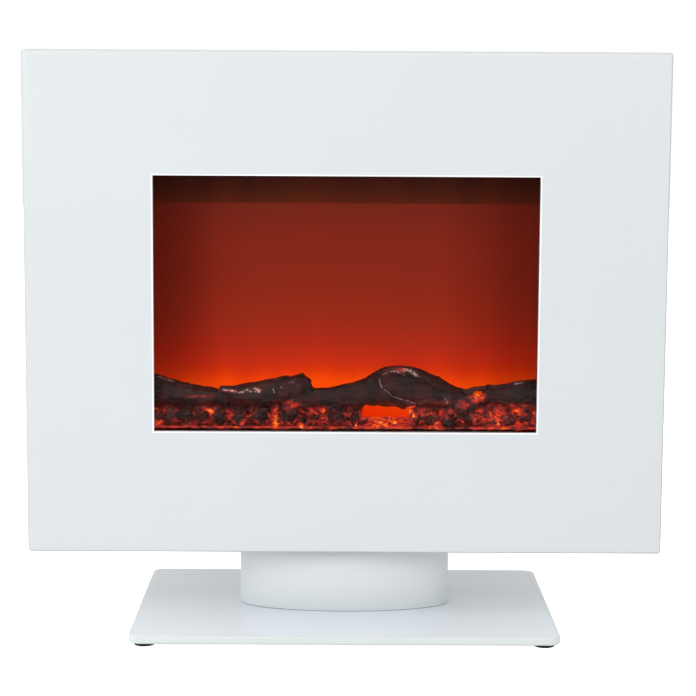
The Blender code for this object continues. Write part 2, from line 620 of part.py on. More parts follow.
# ---- the controls ----
def make_control_bezel():
    """A black moulding let into the casing's right side, with wells for the rockers and a hole for the knob."""
    bezel = box("control_bezel", (0.2788, -0.012, 0.300), (0.2813, 0.026, 0.450), BLACK_PLASTIC, 0.0007)
    wells, hollows = [], []
    for name, z in SWITCH_HEIGHTS.items():
        for kind, ends, half_width, half_height, made in (
            ("well", (0.2640, 0.2795), 0.0082, 0.0115, wells),
            ("hollow", (0.2655, 0.2850), 0.0070, 0.0105, hollows),
        ):
            low = (ends[0], SWITCH_Y - half_width, z - half_height)
            high = (ends[1], SWITCH_Y + half_width, z + half_height)
            made.append(box(f"{name}_{kind}", low, high))
    join(bezel, *wells)
    hollows.append(cylinder("knob_hole", (0.280, SWITCH_Y, KNOB_Z), 0.0038, 0.010, ALONG_X))
    cut(bezel, *hollows)


def make_rockers():
    """A rocker's ends stand proud and its middle is hollow. Power is at on, and the heat rockers are at off."""
    side = [(0.0072, 0.0088), (0.0066, 0.0045), (0.0063, 0), (0.0066, -0.0045), (0.0072, -0.0088)]
    profile = side + [(0.0010, -0.0088), (-0.0045, -0.0050), (-0.0045, 0.0050), (0.0010, 0.0088)]
    for name, z in SWITCH_HEIGHTS.items():
        tilt = -ROCK if name == "power_switch" else ROCK
        place = (SWITCH_PIVOT_X, SWITCH_Y, z)
        plate(name, [profile[::-1]], 0.0132, BLACK_PLASTIC, place, (pi / 2, tilt, 0))


def make_knob():
    profile = [
        (0, 0.0390), (0.0078, 0.0390), (0.0092, 0.0378), (0.0096, 0.0300), (0.0110, 0.0290),
        (0.0110, 0.0262), (0.0030, 0.0262), (0.0030, 0), (0, 0),
    ]
    knob = turned("dimmer_knob", profile, BLACK_PLASTIC, (0.2560, SWITCH_Y, KNOB_Z), ALONG_X, sides=32)
    low, high = (0.2935, SWITCH_Y - 0.0006, KNOB_Z + 0.0015), (0.2956, SWITCH_Y + 0.0006, KNOB_Z + 0.0080)
    pointer = box("pointer", low, high)
    join(knob, pointer)


def make_control_board():
    """The circuit board beside the firebox: the dimmer's body, relays, choke and mains terminals are soldered on."""
    board = box("control_board", (0.2460, -0.030, 0.290), (0.2476, 0.044, 0.455), CIRCUIT_BOARD)
    dimmer = cylinder("dimmer_body", (0.2545, SWITCH_Y, KNOB_Z), 0.008, 0.015, ALONG_X)
    soldered = [
        dimmer,
        box("relay_low", (0.2300, -0.024, 0.380), (0.2465, -0.008, 0.400)),
        box("relay_high", (0.2300, -0.024, 0.408), (0.2465, -0.008, 0.428)),
        box("choke", (0.2230, -0.022, 0.336), (0.2465, 0.010, 0.370)),
        box("terminals", (0.2345, 0.014, 0.296), (0.2465, 0.040, 0.330)),
        cylinder("capacitor", (0.2380, 0.024, 0.400), 0.008, 0.018, ALONG_X),
    ]
    join(board, *soldered)
    cut(board, cylinder("dimmer_bore", (0.2590, SWITCH_Y, KNOB_Z), 0.0034, 0.0100, ALONG_X, sides=20))


def make_wiring_loom():
    """Sheathed wires from the cord's gland up to the mains terminals."""
    curve = bpy.data.curves.new("wiring_loom", "CURVE")
    curve.dimensions = "3D"
    curve.bevel_depth = 0.0025
    curve.bevel_resolution = 2
    curve.use_fill_caps = True
    curve.resolution_u = 5
    start = (GLAND_X, 0.0455, GLAND_Z)
    route = [start, (GLAND_X, 0.0300, 0.1620), (0.2405, 0.0270, 0.2100), (0.2405, 0.0270, 0.2957)]
    spline = curve.splines.new("BEZIER")
    spline.bezier_points.add(len(route) - 1)
    for point, at in zip(spline.bezier_points, route):
        point.co = at
        point.handle_left_type = point.handle_right_type = "AUTO"
    put("wiring_loom", curve, RUBBER)


clear_scene()
PARTS = new_collection("electric_fireplace")
HELPERS = new_collection("cutters")
HELPERS.hide_render = True

ENAMELLED_GLASS = material("enamelled_glass", (0.86, 0.89, 0.90), 0.06)
WHITE_STEEL = material("white_powder_coat", (0.83, 0.85, 0.86), 0.35)
BLACK_STEEL = material("black_heat_paint", (0.012, 0.011, 0.011), 0.60)
ZINC_STEEL = material("zinc_plated_steel", (0.62, 0.63, 0.65), 0.38, 1.0)
MIRROR_SHEET = material("mirror_sheet", (0.86, 0.87, 0.88), 0.12, 1.0)
ALUMINIUM_FIN = material("aluminium_fins", (0.70, 0.71, 0.72), 0.40, 1.0)
WHITE_FOAM = material("white_foam", (0.90, 0.90, 0.90), 0.80)
RUBBER = material("black_rubber", (0.015, 0.015, 0.015), 0.75)
BLACK_PLASTIC = material("black_abs", (0.018, 0.018, 0.020), 0.40)
DARK_PLASTIC = material("dark_glass_filled_nylon", (0.040, 0.042, 0.045), 0.50)
NYLON = material("natural_nylon", (0.78, 0.76, 0.70), 0.45)
FLAME_ACRYLIC = material("flame_acrylic", (0.55, 0.06, 0.01), 0.35)
CHARRED_RESIN = material("charred_resin", (0.030, 0.018, 0.014), 0.60)
EMBER_RESIN = material("ember_resin", (0.70, 0.12, 0.02), 0.45)
CIRCUIT_BOARD = material("circuit_board", (0.03, 0.18, 0.08), 0.45)

make_base_plate()
make_column()
make_glass_front()
make_casing()
make_back_cover()
make_outlet_grille()
make_firebox()
make_log_set()
make_flame_drive()
make_blower_wheel()
make_blower()
make_heater()
make_control_bezel()
make_rockers()
make_knob()
make_control_board()
make_wiring_loom()
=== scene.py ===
"""The looks of a free-standing electric fireplace: white enamelled glass, powder-coated steel, charred resin logs
and a lit flame screen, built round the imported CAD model."""

import json
from math import cos, pi, radians, sin

import bmesh
import bpy
import numpy as np
from mathutils import Matrix, Vector, noise


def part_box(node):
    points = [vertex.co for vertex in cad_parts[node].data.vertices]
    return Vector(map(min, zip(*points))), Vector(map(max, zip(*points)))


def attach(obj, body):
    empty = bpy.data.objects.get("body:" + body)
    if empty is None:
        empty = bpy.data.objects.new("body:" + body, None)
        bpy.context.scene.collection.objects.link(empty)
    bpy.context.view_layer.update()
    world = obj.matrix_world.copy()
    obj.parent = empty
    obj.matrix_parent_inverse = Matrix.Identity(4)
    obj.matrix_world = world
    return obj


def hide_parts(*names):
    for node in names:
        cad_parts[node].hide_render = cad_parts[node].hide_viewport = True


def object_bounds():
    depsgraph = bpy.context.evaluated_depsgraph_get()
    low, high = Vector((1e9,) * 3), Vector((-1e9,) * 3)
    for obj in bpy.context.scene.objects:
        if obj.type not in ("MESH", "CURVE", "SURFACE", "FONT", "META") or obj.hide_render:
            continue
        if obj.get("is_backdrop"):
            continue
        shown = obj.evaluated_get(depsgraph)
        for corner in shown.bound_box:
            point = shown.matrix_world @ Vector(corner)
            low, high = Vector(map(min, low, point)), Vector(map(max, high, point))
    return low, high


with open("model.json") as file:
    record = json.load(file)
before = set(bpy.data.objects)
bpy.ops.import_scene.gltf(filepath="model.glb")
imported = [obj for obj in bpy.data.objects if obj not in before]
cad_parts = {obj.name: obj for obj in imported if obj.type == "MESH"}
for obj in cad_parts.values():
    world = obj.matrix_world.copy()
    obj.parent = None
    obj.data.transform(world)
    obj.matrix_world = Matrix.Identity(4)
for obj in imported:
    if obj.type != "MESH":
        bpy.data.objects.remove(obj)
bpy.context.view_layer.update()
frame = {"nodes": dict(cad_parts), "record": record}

record = frame["record"]
BODY = "casing"

# ---- Studio -------------------------------------------------------------------------------------------------------
# A sweep of white paper, blown out behind the heater, in a room whose pale side walls give most of the light.
# Soft boxes stand over the lens, to its left and overhead. The lens is long and looks down by seven degrees.


def linear(colour):
    """An sRGB hex colour as linear red, green, blue and a full alpha."""
    parts = [int(colour[i : i + 2], 16) / 255 for i in (1, 3, 5)]
    return (*[c / 12.92 if c <= 0.04045 else ((c + 0.055) / 1.055) ** 2.4 for c in parts], 1.0)


def add(tree, kind, inputs=None, **settings):
    """A node with its settings. An input takes a value, or another node's output, which is linked to it."""
    made = tree.nodes.new(kind)
    for name, value in settings.items():
        setattr(made, name, value)
    for socket, value in (inputs or {}).items():
        if isinstance(value, bpy.types.NodeSocket):
            tree.links.new(value, made.inputs[socket])
        else:
            made.inputs[socket].default_value = value
    return made


def finish(name, colour, roughness, **sockets):
    """A material whose plain values are on its shader, with the shader and its tree to build on."""
    made = bpy.data.materials.new(name)
    made.use_nodes = True
    shader = made.node_tree.nodes["Principled BSDF"]
    shader.inputs["Base Color"].default_value = linear(colour)
    shader.inputs["Roughness"].default_value = roughness
    for socket, value in sockets.items():
        shader.inputs[socket.replace("_", " ")].default_value = value
    return made, made.node_tree, shader


def place(name, mesh, *finishes):
    """An object in the scene, standing at the origin, with its materials."""
    made = bpy.data.objects.new(name, mesh)
    bpy.context.scene.collection.objects.link(made)
    for material in finishes:
        made.data.materials.append(material)
    return made


LENS_HEIGHT, LENS_BACK, LENS_LEFT = 0.5238, 1.9750, 0.0077
LOOK_DOWN, LOOK_ASIDE, LOOK_TILT = radians(6.988), radians(-0.298), radians(0.332)
lens = bpy.data.cameras.new("lens")
lens.lens, lens.sensor_width = 98.43, 36
camera = place("camera", lens)
turn = Matrix.Rotation(LOOK_ASIDE, 4, "Z") @ Matrix.Rotation(pi / 2 - LOOK_DOWN, 4, "X")
turn = turn @ Matrix.Rotation(LOOK_TILT, 4, "Z")
camera.matrix_world = Matrix.Translation((-LENS_LEFT, -LENS_BACK, LENS_HEIGHT)) @ turn
bpy.context.scene.camera = camera
bpy.context.scene.view_settings.view_transform = "Standard"

room = bpy.data.worlds.new("pale_room")
bpy.context.scene.world = room
room.use_nodes = True
background = room.node_tree.nodes["Background"]
background.inputs["Color"].default_value = (1, 1, 1, 1)
towards = add(room.node_tree, "ShaderNodeTexCoord").outputs["Generated"]
towards = add(room.node_tree, "ShaderNodeSeparateXYZ", {"Vector": towards}).outputs
walls = 0.0
for axis, side, strength in (("X", -1, 1.49), ("X", 1, 1.06), ("Y", -1, 0.60), ("Y", 1, 0.44)):
    wall = add(room.node_tree, "ShaderNodeMapRange", {"Value": towards[axis], "From Max": side, "To Max": strength})
    walls = add(room.node_tree, "ShaderNodeMath", {0: walls, 1: wall.outputs["Result"]}, operation="ADD").outputs[0]
seen = add(room.node_tree, "ShaderNodeLightPath").outputs["Is Camera Ray"]
level = add(room.node_tree, "ShaderNodeMapRange", {"Value": seen, "To Min": walls, "To Max": 1.0})
room.node_tree.links.new(level.outputs["Result"], background.inputs["Strength"])


def soft_box(name, at, towards, size, watts):
    """A square soft box turned towards a point."""
    light = bpy.data.lights.new(name, "AREA")
    light.shape, light.size, light.energy = "SQUARE", size, watts
    lamp = place(name, light)
    lamp.location = at
    lamp.rotation_euler = (Vector(towards) - Vector(at)).to_track_quat("-Z", "Y").to_euler()


soft_box("left_box", (-1.25, -1.55, 1.15), (0, 0, 0.30), 1.1, 6.3)
soft_box("top_box", (0.0, -0.5, 2.3), (0, 0, 0), 1.6, 7.2)
soft_box("high_box", (0.0, -2.4, 2.6), (0, 0, 0.2), 1.4, 10.0)

# Matt paper: no sheen, and blown out to plain white where the lens sees it.
paper, tree, shader = finish("white_paper", "#E8E8E8", 0.9, Specular_IOR_Level=0.1, Emission_Color=(1, 1, 1, 1))
seen = add(tree, "ShaderNodeLightPath").outputs["Is Camera Ray"]
tree.links.new(seen, shader.inputs["Emission Strength"])
SWEEP_REACH = 9.0
sweep = bmesh.new()
bmesh.ops.create_grid(sweep, x_segments=1, y_segments=1, size=SWEEP_REACH)
floor_mesh = bpy.data.meshes.new("sweep")
sweep.to_mesh(floor_mesh)
sweep.free()
place("sweep", floor_mesh, paper)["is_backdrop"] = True

# ---- Base plate ---------------------------------------------------------------------------------------------------
# Eight-millimetre toughened float glass, cut with round corners and pencil-ground, then enamelled white underneath.
# The enamel shows through clear glass, so the face is a deep gloss, and the ground edge is paler and faintly green.


def rounded_outline(width, height, corner, steps=10):
    """Points round a rectangle with round corners, anticlockwise."""
    points = []
    for quarter, (i, j) in enumerate(((1, 1), (-1, 1), (-1, -1), (1, -1))):
        for step in range(steps + 1):
            angle = pi / 2 * (quarter + step / steps)
            x = i * (width / 2 - corner) + corner * cos(angle)
            points.append((x, j * (height / 2 - corner) + corner * sin(angle)))
    return points


def settled(name, bm, sharp=None):
    """A mesh with its faces outwards, smooth but for the edges past an angle in degrees if one is given."""
    bmesh.ops.recalc_face_normals(bm, faces=bm.faces)
    mesh = bpy.data.meshes.new(name)
    bm.to_mesh(mesh)
    bm.free()
    if sharp:
        mesh.shade_smooth()
        mesh.set_sharp_from_angle(angle=radians(sharp))
    return mesh


def strip(bm, near, far):
    """The faces between two closed loops of as many points."""
    sides = [(i, (i + 1) % len(near)) for i in range(len(near))]
    return [bm.faces.new((near[i], near[k], far[k], far[i])) for i, k in sides]


def stacked_sheet(name, rings, stand, sharp=28):
    """A closed sheet lofted through rings of (outline, level, finish number), with a flat face at each end.
    A ring's finish is that of the strip from it to the next ring, and the last ring's is that of both faces.
    stand(x, y, level) puts a point in its place."""
    bm = bmesh.new()
    loops = [[bm.verts.new(stand(x, y, level)) for x, y in outline] for outline, level, _ in rings]
    for (_, _, number), low, high in zip(rings, loops, loops[1:]):
        for face in strip(bm, low, high):
            face.material_index = number
    for loop in (loops[0], loops[-1]):
        bm.faces.new(loop).material_index = rings[-1][2]
    return settled(name, bm, sharp)


def grained(name, colours, roughness, scale, detail=2, strength=0, depth=0.0001, **sockets):
    """A finish with a noise over it, scale cells to the metre. The colour and the roughness vary with the noise
    where two of them are given, and a strength raises it as relief of the given depth."""
    made, tree, shader = finish(name, colours[0], roughness[0], **sockets)
    where = add(tree, "ShaderNodeTexCoord").outputs["Object"]
    grain = add(tree, "ShaderNodeTexNoise", {"Vector": where, "Scale": scale, "Detail": detail}).outputs["Fac"]
    if len(colours) > 1:
        ramp = add(tree, "ShaderNodeValToRGB", {"Fac": grain})
        for element, colour in zip(ramp.color_ramp.elements, colours):
            element.color = linear(colour)
        tree.links.new(ramp.outputs["Color"], shader.inputs["Base Color"])
    if len(roughness) > 1:
        gloss = add(tree, "ShaderNodeMapRange", {"Value": grain, "To Min": roughness[0], "To Max": roughness[1]})
        tree.links.new(gloss.outputs["Result"], shader.inputs["Roughness"])
    if strength:
        relief = add(tree, "ShaderNodeBump", {"Height": grain, "Strength": strength, "Distance": depth})
        tree.links.new(relief.outputs["Normal"], shader.inputs["Normal"])
    return made


def enamelled(name, colours):
    """Clear float glass over fired white enamel: a deep gloss with the roller's faint wave, and an even, cool white."""
    made = grained(name, colours, (0.035,), 7, IOR=1.52)
    tree = made.node_tree
    where = add(tree, "ShaderNodeTexCoord").outputs["Object"]
    wave = add(tree, "ShaderNodeTexNoise", {"Vector": where, "Scale": 4.0, "Detail": 0.0})
    roller = add(tree, "ShaderNodeBump", {"Height": wave.outputs["Fac"], "Strength": 0.05, "Distance": 0.001})
    tree.links.new(roller.outputs["Normal"], tree.nodes["Principled BSDF"].inputs["Normal"])
    return made


thick_enamel = enamelled("white_enamelled_thick_glass", ("#E4E9EE", "#E8EEF2"))
# Pencil-ground with a fine wheel: matt, with a grit of about a millimetre, coarser than the real one so it shows.
ground_edge = grained("ground_glass_edge", ("#E1E7E7",), (0.22,), 900, 1, 0.15, IOR=1.52)

low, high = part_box("base_plate")
plate_size = high - low
CORNER, ARRIS = 0.012, 0.0013
rings = []
for inset, level, number in (
    (ARRIS, low.z, 1), (0.4 * ARRIS, low.z + 0.4 * ARRIS, 1), (0, low.z + ARRIS, 1), (0, high.z - ARRIS, 1),
    (0.15 * ARRIS, high.z - 0.5 * ARRIS, 1), (0.5 * ARRIS, high.z - 0.15 * ARRIS, 1), (ARRIS, high.z, 0),
):
    outline = rounded_outline(plate_size.x - 2 * inset, plate_size.y - 2 * inset, CORNER - inset)
    rings.append((outline, level, number))
base_mesh = stacked_sheet("base_glass", rings, lambda x, y, level: (x, y, level))
base_glass = place("base_glass", base_mesh, thick_enamel, ground_edge)
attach(base_glass, BODY)
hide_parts("base_plate")

# ---- Feet ---------------------------------------------------------------------------------------------------------
# Black rubber bumpers, moulded with a soft shoulder and a shallow dish underneath, and stuck to the glass.


def turned(name, profile, sides, turn=Matrix.Identity(4)):
    """A closed mesh turned about Z from (radius, height) points that start and end on the axis, then moved."""
    bm = bmesh.new()
    verts = [bm.verts.new((radius, 0, height)) for radius, height in profile]
    edges = [bm.edges.new(pair) for pair in zip(verts, verts[1:])]
    bmesh.ops.spin(bm, geom=verts + edges, axis=(0, 0, 1), cent=(0, 0, 0), angle=2 * pi, steps=sides)
    bmesh.ops.remove_doubles(bm, verts=bm.verts, dist=1e-6)
    bmesh.ops.transform(bm, matrix=turn, verts=bm.verts)
    return settled(name, bm, 40)


# Moulded rubber: nearly black and matt, with fine pores that scatter what gloss there is.
rubber = grained("moulded_black_rubber", ("#161617",), (0.72,), 1400, 2, 0.3)

for foot in ("foot_front_left", "foot_front_right", "foot_back_left", "foot_back_right"):
    low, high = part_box(foot)
    radius, top = (high.x - low.x) / 2, high.z
    profile = [
        (0, top), (radius - 0.0004, top), (radius, top - 0.0005), (radius, top - 0.0011),
        (radius - 0.0006, 0.0004), (radius - 0.0012, 0), (radius - 0.0030, 0), (radius - 0.0038, 0.0005), (0, 0.0005),
    ]
    under_glass = Matrix.Translation(((low.x + high.x) / 2, (low.y + high.y) / 2, 0))
    pad = place(foot + "_pad", turned(foot, profile, 48, under_glass), rubber)
    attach(pad, BODY)
    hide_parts(foot)

# ---- Column -------------------------------------------------------------------------------------------------------
# Oval steel tube, saw cut and deburred, then powder coated satin white. The powder leaves a very fine orange peel.

powder = grained("satin_white_powder_coat", ("#E3E7E9",), (0.32, 0.42), 520, 2, 0.22)

low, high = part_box("column")
WALL, DEBURR, OVAL_SIDES = 0.002, 0.0006, 128


def oval(inset):
    """Points round the tube's oval, a given way in from its outside."""
    turns = [2 * pi * i / OVAL_SIDES for i in range(OVAL_SIDES)]
    return [((high.x - inset) * cos(t), (high.y - inset) * sin(t)) for t in turns]


bm = bmesh.new()
levels = [
    (DEBURR, low.z), (0, low.z + DEBURR), (0, high.z - DEBURR), (DEBURR, high.z),
    (WALL - DEBURR, high.z), (WALL, high.z - DEBURR), (WALL, low.z + DEBURR), (WALL - DEBURR, low.z),
]
loops = [[bm.verts.new((x, y, z)) for x, y in oval(inset)] for inset, z in levels]
for near, far in zip(loops, loops[1:] + loops[:1]):
    strip(bm, near, far)
tube = place("column_tube", settled("column_tube", bm, 60), powder)
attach(tube, BODY)
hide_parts("column")

# ---- Front glass --------------------------------------------------------------------------------------------------
# Five-millimetre toughened float glass, enamelled white on its back but for the window, which is left clear.
# Round the window runs a bright line, a painted highlight of the glass edge catching the light. A shallow polished
# bevel runs all round the front, and the edge outside it is seamed matt.

enamel = enamelled("white_enamelled_float_glass", ("#DBE1E4", "#DFE4E7"))
# Clear glass: quite smooth. Its reflection is held down, since the white room would haze the dark window.
clear = finish("clear_float_glass", "#FFFFFF", 0.0, IOR=1.5, Transmission_Weight=1.0,
               Specular_Tint=(0.03, 0.03, 0.03, 1))[0]
# Edge seamed on a belt: half matt with fine chips, and greyer than the face, because the glass is seen end on.
nipped_edge = grained("nipped_glass_edge", ("#CBCFD0",), (0.30,), 500, 2, 0.2, 0.0002, IOR=1.52)
# Bevel polished with felt: as glossy as the face, with a faint ripple, and a little paler, which is a painted
# reflection of its tilted face.
bevel_band = grained("polished_glass_bevel", ("#DFE3E3",), (0.05,), 60, 1, 0.06, 0.0005, IOR=1.52)
# A bright line round the window, a painted highlight of the glass edge catching the light: satin, and whiter
# than the enamel, with a touch of painted glow to keep it the brightest line.
bright_window_line = grained("bright_white_window_line_painted_highlight", ("#FFFFFF",), (0.25, 0.35), 600, 1,
                  Emission_Color=(1, 1, 1, 1), Emission_Strength=0.1)

low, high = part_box("front_glass")
middle = (low + high) / 2
glass_width, glass_height = high.x - low.x, high.z - low.z
seal_low, seal_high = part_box("window_gasket")
SEAL_BAND, KEYLINE = 0.008, 0.0014  # the width of the seal behind the glass, and of the painted highlight line round the window
window_width = seal_high.x - seal_low.x - 2 * SEAL_BAND
window_height = seal_high.z - seal_low.z - 2 * SEAL_BAND
window_up = (seal_low.z + seal_high.z) / 2 - middle.z
GLASS_CORNER, TIGHT_CORNER, BEVEL_WIDTH, BEVEL_DEPTH, NIP = 0.004, 0.0004, 0.0055, 0.0003, 0.0015


def glass_outline(inset):
    """The sheet's own outline, drawn in by an inset."""
    return rounded_outline(glass_width - 2 * inset, glass_height - 2 * inset, max(GLASS_CORNER - inset, TIGHT_CORNER))


def window_outline(margin):
    """The clear window's outline, let out by a margin."""
    outline = rounded_outline(window_width + 2 * margin, window_height + 2 * margin, TIGHT_CORNER)
    return [(x, y + window_up) for x, y in outline]


rings = [
    (window_outline(0), high.y, 0), (glass_outline(NIP), high.y, 1), (glass_outline(0), high.y - NIP, 1),
    (glass_outline(0), low.y + BEVEL_DEPTH + NIP, 1), (glass_outline(NIP), low.y + BEVEL_DEPTH, 2),
    (glass_outline(BEVEL_WIDTH), low.y, 0), (window_outline(KEYLINE), low.y, 4), (window_outline(0), low.y, 3),
]
sheet_mesh = stacked_sheet("front_sheet", rings, lambda x, z, level: (middle.x + x, level, middle.z + z), 3)
front_sheet = place("front_sheet", sheet_mesh, enamel, nipped_edge, bevel_band, clear, bright_window_line)
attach(front_sheet, BODY)
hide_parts("front_glass")

# ---- Window seal --------------------------------------------------------------------------------------------------
# White closed-cell foam between the glass and the casing, matt and finely pitted. The enamel hides it from the front.

coated = set()


def coat(node, finish_):
    """Puts a finish on a CAD node that stays in its own shape."""
    coated.add(node)
    materials = frame["nodes"][node].data.materials
    materials.clear()
    materials.append(finish_)


foam, tree, shader = finish("white_closed_cell_foam", "#FBFBFA", 0.85)
where = add(tree, "ShaderNodeTexCoord").outputs["Object"]
cells = add(tree, "ShaderNodeTexVoronoi", {"Vector": where, "Scale": 2500.0})
skin = add(tree, "ShaderNodeBump", {"Height": cells.outputs["Distance"], "Strength": 0.2, "Distance": 0.0001})
tree.links.new(skin.outputs["Normal"], shader.inputs["Normal"])
coat("window_gasket", foam)

# ---- Flame screen -------------------------------------------------------------------------------------------------
# Diffusing acrylic lit from behind by the lamps and the turning mirrors: orange just above the logs, where the light
# comes in, dull red further up, and dimmer towards both ends of the lamp board.

screen_low, screen_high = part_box("flame_screen")
mask_low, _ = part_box("screen_mask")


def glow_ramp(tree, factor, stops):
    """The colour at a factor along a row of (place, colour) stops."""
    ramp = add(tree, "ShaderNodeValToRGB", {"Fac": factor})
    elements = ramp.color_ramp.elements
    while len(elements) < len(stops):
        elements.new(0.5)
    for element, (at, colour) in zip(elements, sorted(stops)):
        element.position = at
        element.color = linear(colour)
    return ramp.outputs["Color"]


def lit_sheet(name, stops, bottom, top):
    """A finish that glows by height between bottom and top, and falls off towards the ends."""
    made, tree, shader = finish(name, "#0A0303", 0.4, Specular_IOR_Level=0.0, Emission_Strength=1.0)
    where = add(tree, "ShaderNodeTexCoord").outputs["Object"]
    axes = add(tree, "ShaderNodeSeparateXYZ", {"Vector": where}).outputs
    stretch = add(tree, "ShaderNodeMapping", {"Vector": where, "Scale": (1.0, 0.0, 0.05)})
    streaks = add(tree, "ShaderNodeTexNoise", {"Vector": stretch.outputs["Vector"], "Scale": 26.0, "Detail": 3.0})
    lick = add(tree, "ShaderNodeMapRange", {"Value": streaks.outputs["Fac"], "From Min": 0.3, "From Max": 0.7,
                                           "To Min": -0.005, "To Max": 0.005})
    raised = add(tree, "ShaderNodeMath", {0: axes["Z"], 1: lick.outputs["Result"]}, operation="ADD")
    level = add(tree, "ShaderNodeMapRange", {"Value": raised.outputs["Value"], "From Min": bottom, "From Max": top})
    colour = glow_ramp(tree, level.outputs["Result"], stops)
    across = add(tree, "ShaderNodeMapRange", {"Value": axes["X"], "From Min": -0.2, "From Max": 0.2})
    ends = [(0.0, "#A49694"), (0.05, "#B6A8A4"), (0.10, "#CEBEBA"), (0.17, "#F4ECEA"), (0.26, "#FFFFFF"),
            (0.74, "#FFFFFF"), (0.84, "#EAE0DE"), (0.93, "#C8BAB8"), (1.0, "#B8AAA8")]
    shade = glow_ramp(tree, across.outputs["Result"], ends)
    dimmed = add(tree, "ShaderNodeMix", {0: 1.0, 6: colour, 7: shade}, data_type="RGBA", blend_type="MULTIPLY")
    tree.links.new(dimmed.outputs[2], shader.inputs["Emission Color"])
    return made


GLOW_BOTTOM = 0.212
height = mask_low.z - GLOW_BOTTOM
flame_stops = [
    ((z - GLOW_BOTTOM) / height, colour)
    for z, colour in (
        (0.2120, "#E02A00"), (0.2250, "#EA3803"), (0.2400, "#F84A02"), (0.2455, "#F64903"), (0.2508, "#EC3F03"),
        (0.2600, "#D43109"), (0.2676, "#C62C0F"), (0.2855, "#AF2914"), (0.3117, "#982915"), (0.3535, "#892717"),
        (0.3951, "#822617"), (0.4330, "#722418"),
    )
]
flame_acrylic = lit_sheet("lit_diffusing_acrylic", flame_stops, GLOW_BOTTOM, mask_low.z)
coat("flame_screen", flame_acrylic)

# ---- Screen mask --------------------------------------------------------------------------------------------------
# A smoked strip across the top of the screen hides the lamps' upper reflections. A little light leaks through it.

mask_stops = [(0.0, "#562110"), (0.35, "#451A0E"), (0.75, "#35140E"), (1.0, "#26100C")]
smoked = lit_sheet("smoked_film", mask_stops, mask_low.z, screen_high.z)
coat("screen_mask", smoked)

# ---- Firebox sheets -----------------------------------------------------------------------------------------------
# Folded steel sprayed with matt black heat-resistant paint, which dries to a fine grain.

black_paint = grained("matt_black_heat_paint", ("#0B0A0A",), (0.62,), 900, 2, 0.25, Specular_IOR_Level=0.2)
for node in ("firebox_floor", "firebox_ceiling", "firebox_side_left", "firebox_side_right", "front_plate"):
    coat(node, black_paint)

# ---- Log set ------------------------------------------------------------------------------------------------------
# One hollow resin casting of bark-covered limbs and the coals that carry them, sprayed charcoal over translucent red.
# The paint is thin in the hollows and near the bed, where the lamps underneath glow through as embers.

LIMB_DEPTH = 0.8  # a limb's thickness from front to back, against its height
LIMB_STEP, LIMB_SIDES = 0.0025, 20
COAL_FRONT, COAL_DEPTH, COAL_KNOBS = -0.0365, 1.15, 190  # where the coals lie, their depth, and knobs to the metre
CASTING_ENDS, SKIN_STEP = (-0.1990, 0.1988), 0.0011
BARK_ALONG, BARK_ROUND, CRUMPLES = 45, 230, 150  # noise cells to the metre
BARK_TALL, CRACK_DEEP, CRUMPLE_TALL = 0.0011, 0.0011, 0.0034
COAL_LEVEL, GLOW_LEVEL, FADE = 0.2300, 0.2250, 0.006  # the coals' tops, where the glow dies out, and how fast
BOSS_TALL, GROOVE_DEEP, PALE_LINE_DEEP = 0.0012, 0.0018, 0.0006
LIMBS = (  # how far back the limb lies, then its middle and radius along it, as (x, z, radius)
    (-0.025, ((-0.1985, 0.2422, 0.0156), (-0.1965, 0.2421, 0.0156), (-0.188, 0.2394, 0.015), (-0.171, 0.2365, 0.0128),
              (-0.15, 0.234, 0.0113), (-0.133, 0.232, 0.0102), (-0.122, 0.229, 0.008))),
    (-0.028, ((-0.13, 0.2425, 0.0036), (-0.118, 0.238, 0.0085), (-0.11, 0.2365, 0.0108), (-0.086, 0.238, 0.013),
              (-0.066, 0.2415, 0.0136), (-0.059, 0.2425, 0.0138), (-0.0535, 0.242, 0.0116), (-0.0468, 0.245, 0.0144),
              (-0.0415, 0.2398, 0.0108), (-0.0355, 0.2365, 0.0074))),
    (-0.027, ((-0.06, 0.232, 0.0105), (-0.021, 0.2325, 0.0112), (0.0, 0.2345, 0.0128), (0.02, 0.2384, 0.0144),
              (0.034, 0.2425, 0.0184), (0.046, 0.2452, 0.0215), (0.059, 0.2452, 0.0219), (0.072, 0.243, 0.0215),
              (0.088, 0.239, 0.0188), (0.104, 0.233, 0.016), (0.122, 0.229, 0.0138), (0.138, 0.227, 0.0095))),
    (-0.028, ((0.1422, 0.2402, 0.0095), (0.148, 0.2381, 0.0103), (0.16, 0.237, 0.0112), (0.181, 0.2368, 0.0156),
              (0.1985, 0.236, 0.0185))),
    (-0.03, ((0.108, 0.234, 0.004), (0.129, 0.242, 0.0026), (0.1455, 0.245, 0.0024))),
    (-0.019, ((-0.1985, 0.219, 0.0105), (-0.15, 0.2195, 0.0115), (-0.07, 0.219, 0.0105), (0.0, 0.219, 0.011),
              (0.018, 0.2165, 0.0075))),
    (-0.019, ((0.065, 0.2185, 0.0085), (0.09, 0.2195, 0.011), (0.14, 0.22, 0.0115), (0.1985, 0.219, 0.011))),
)
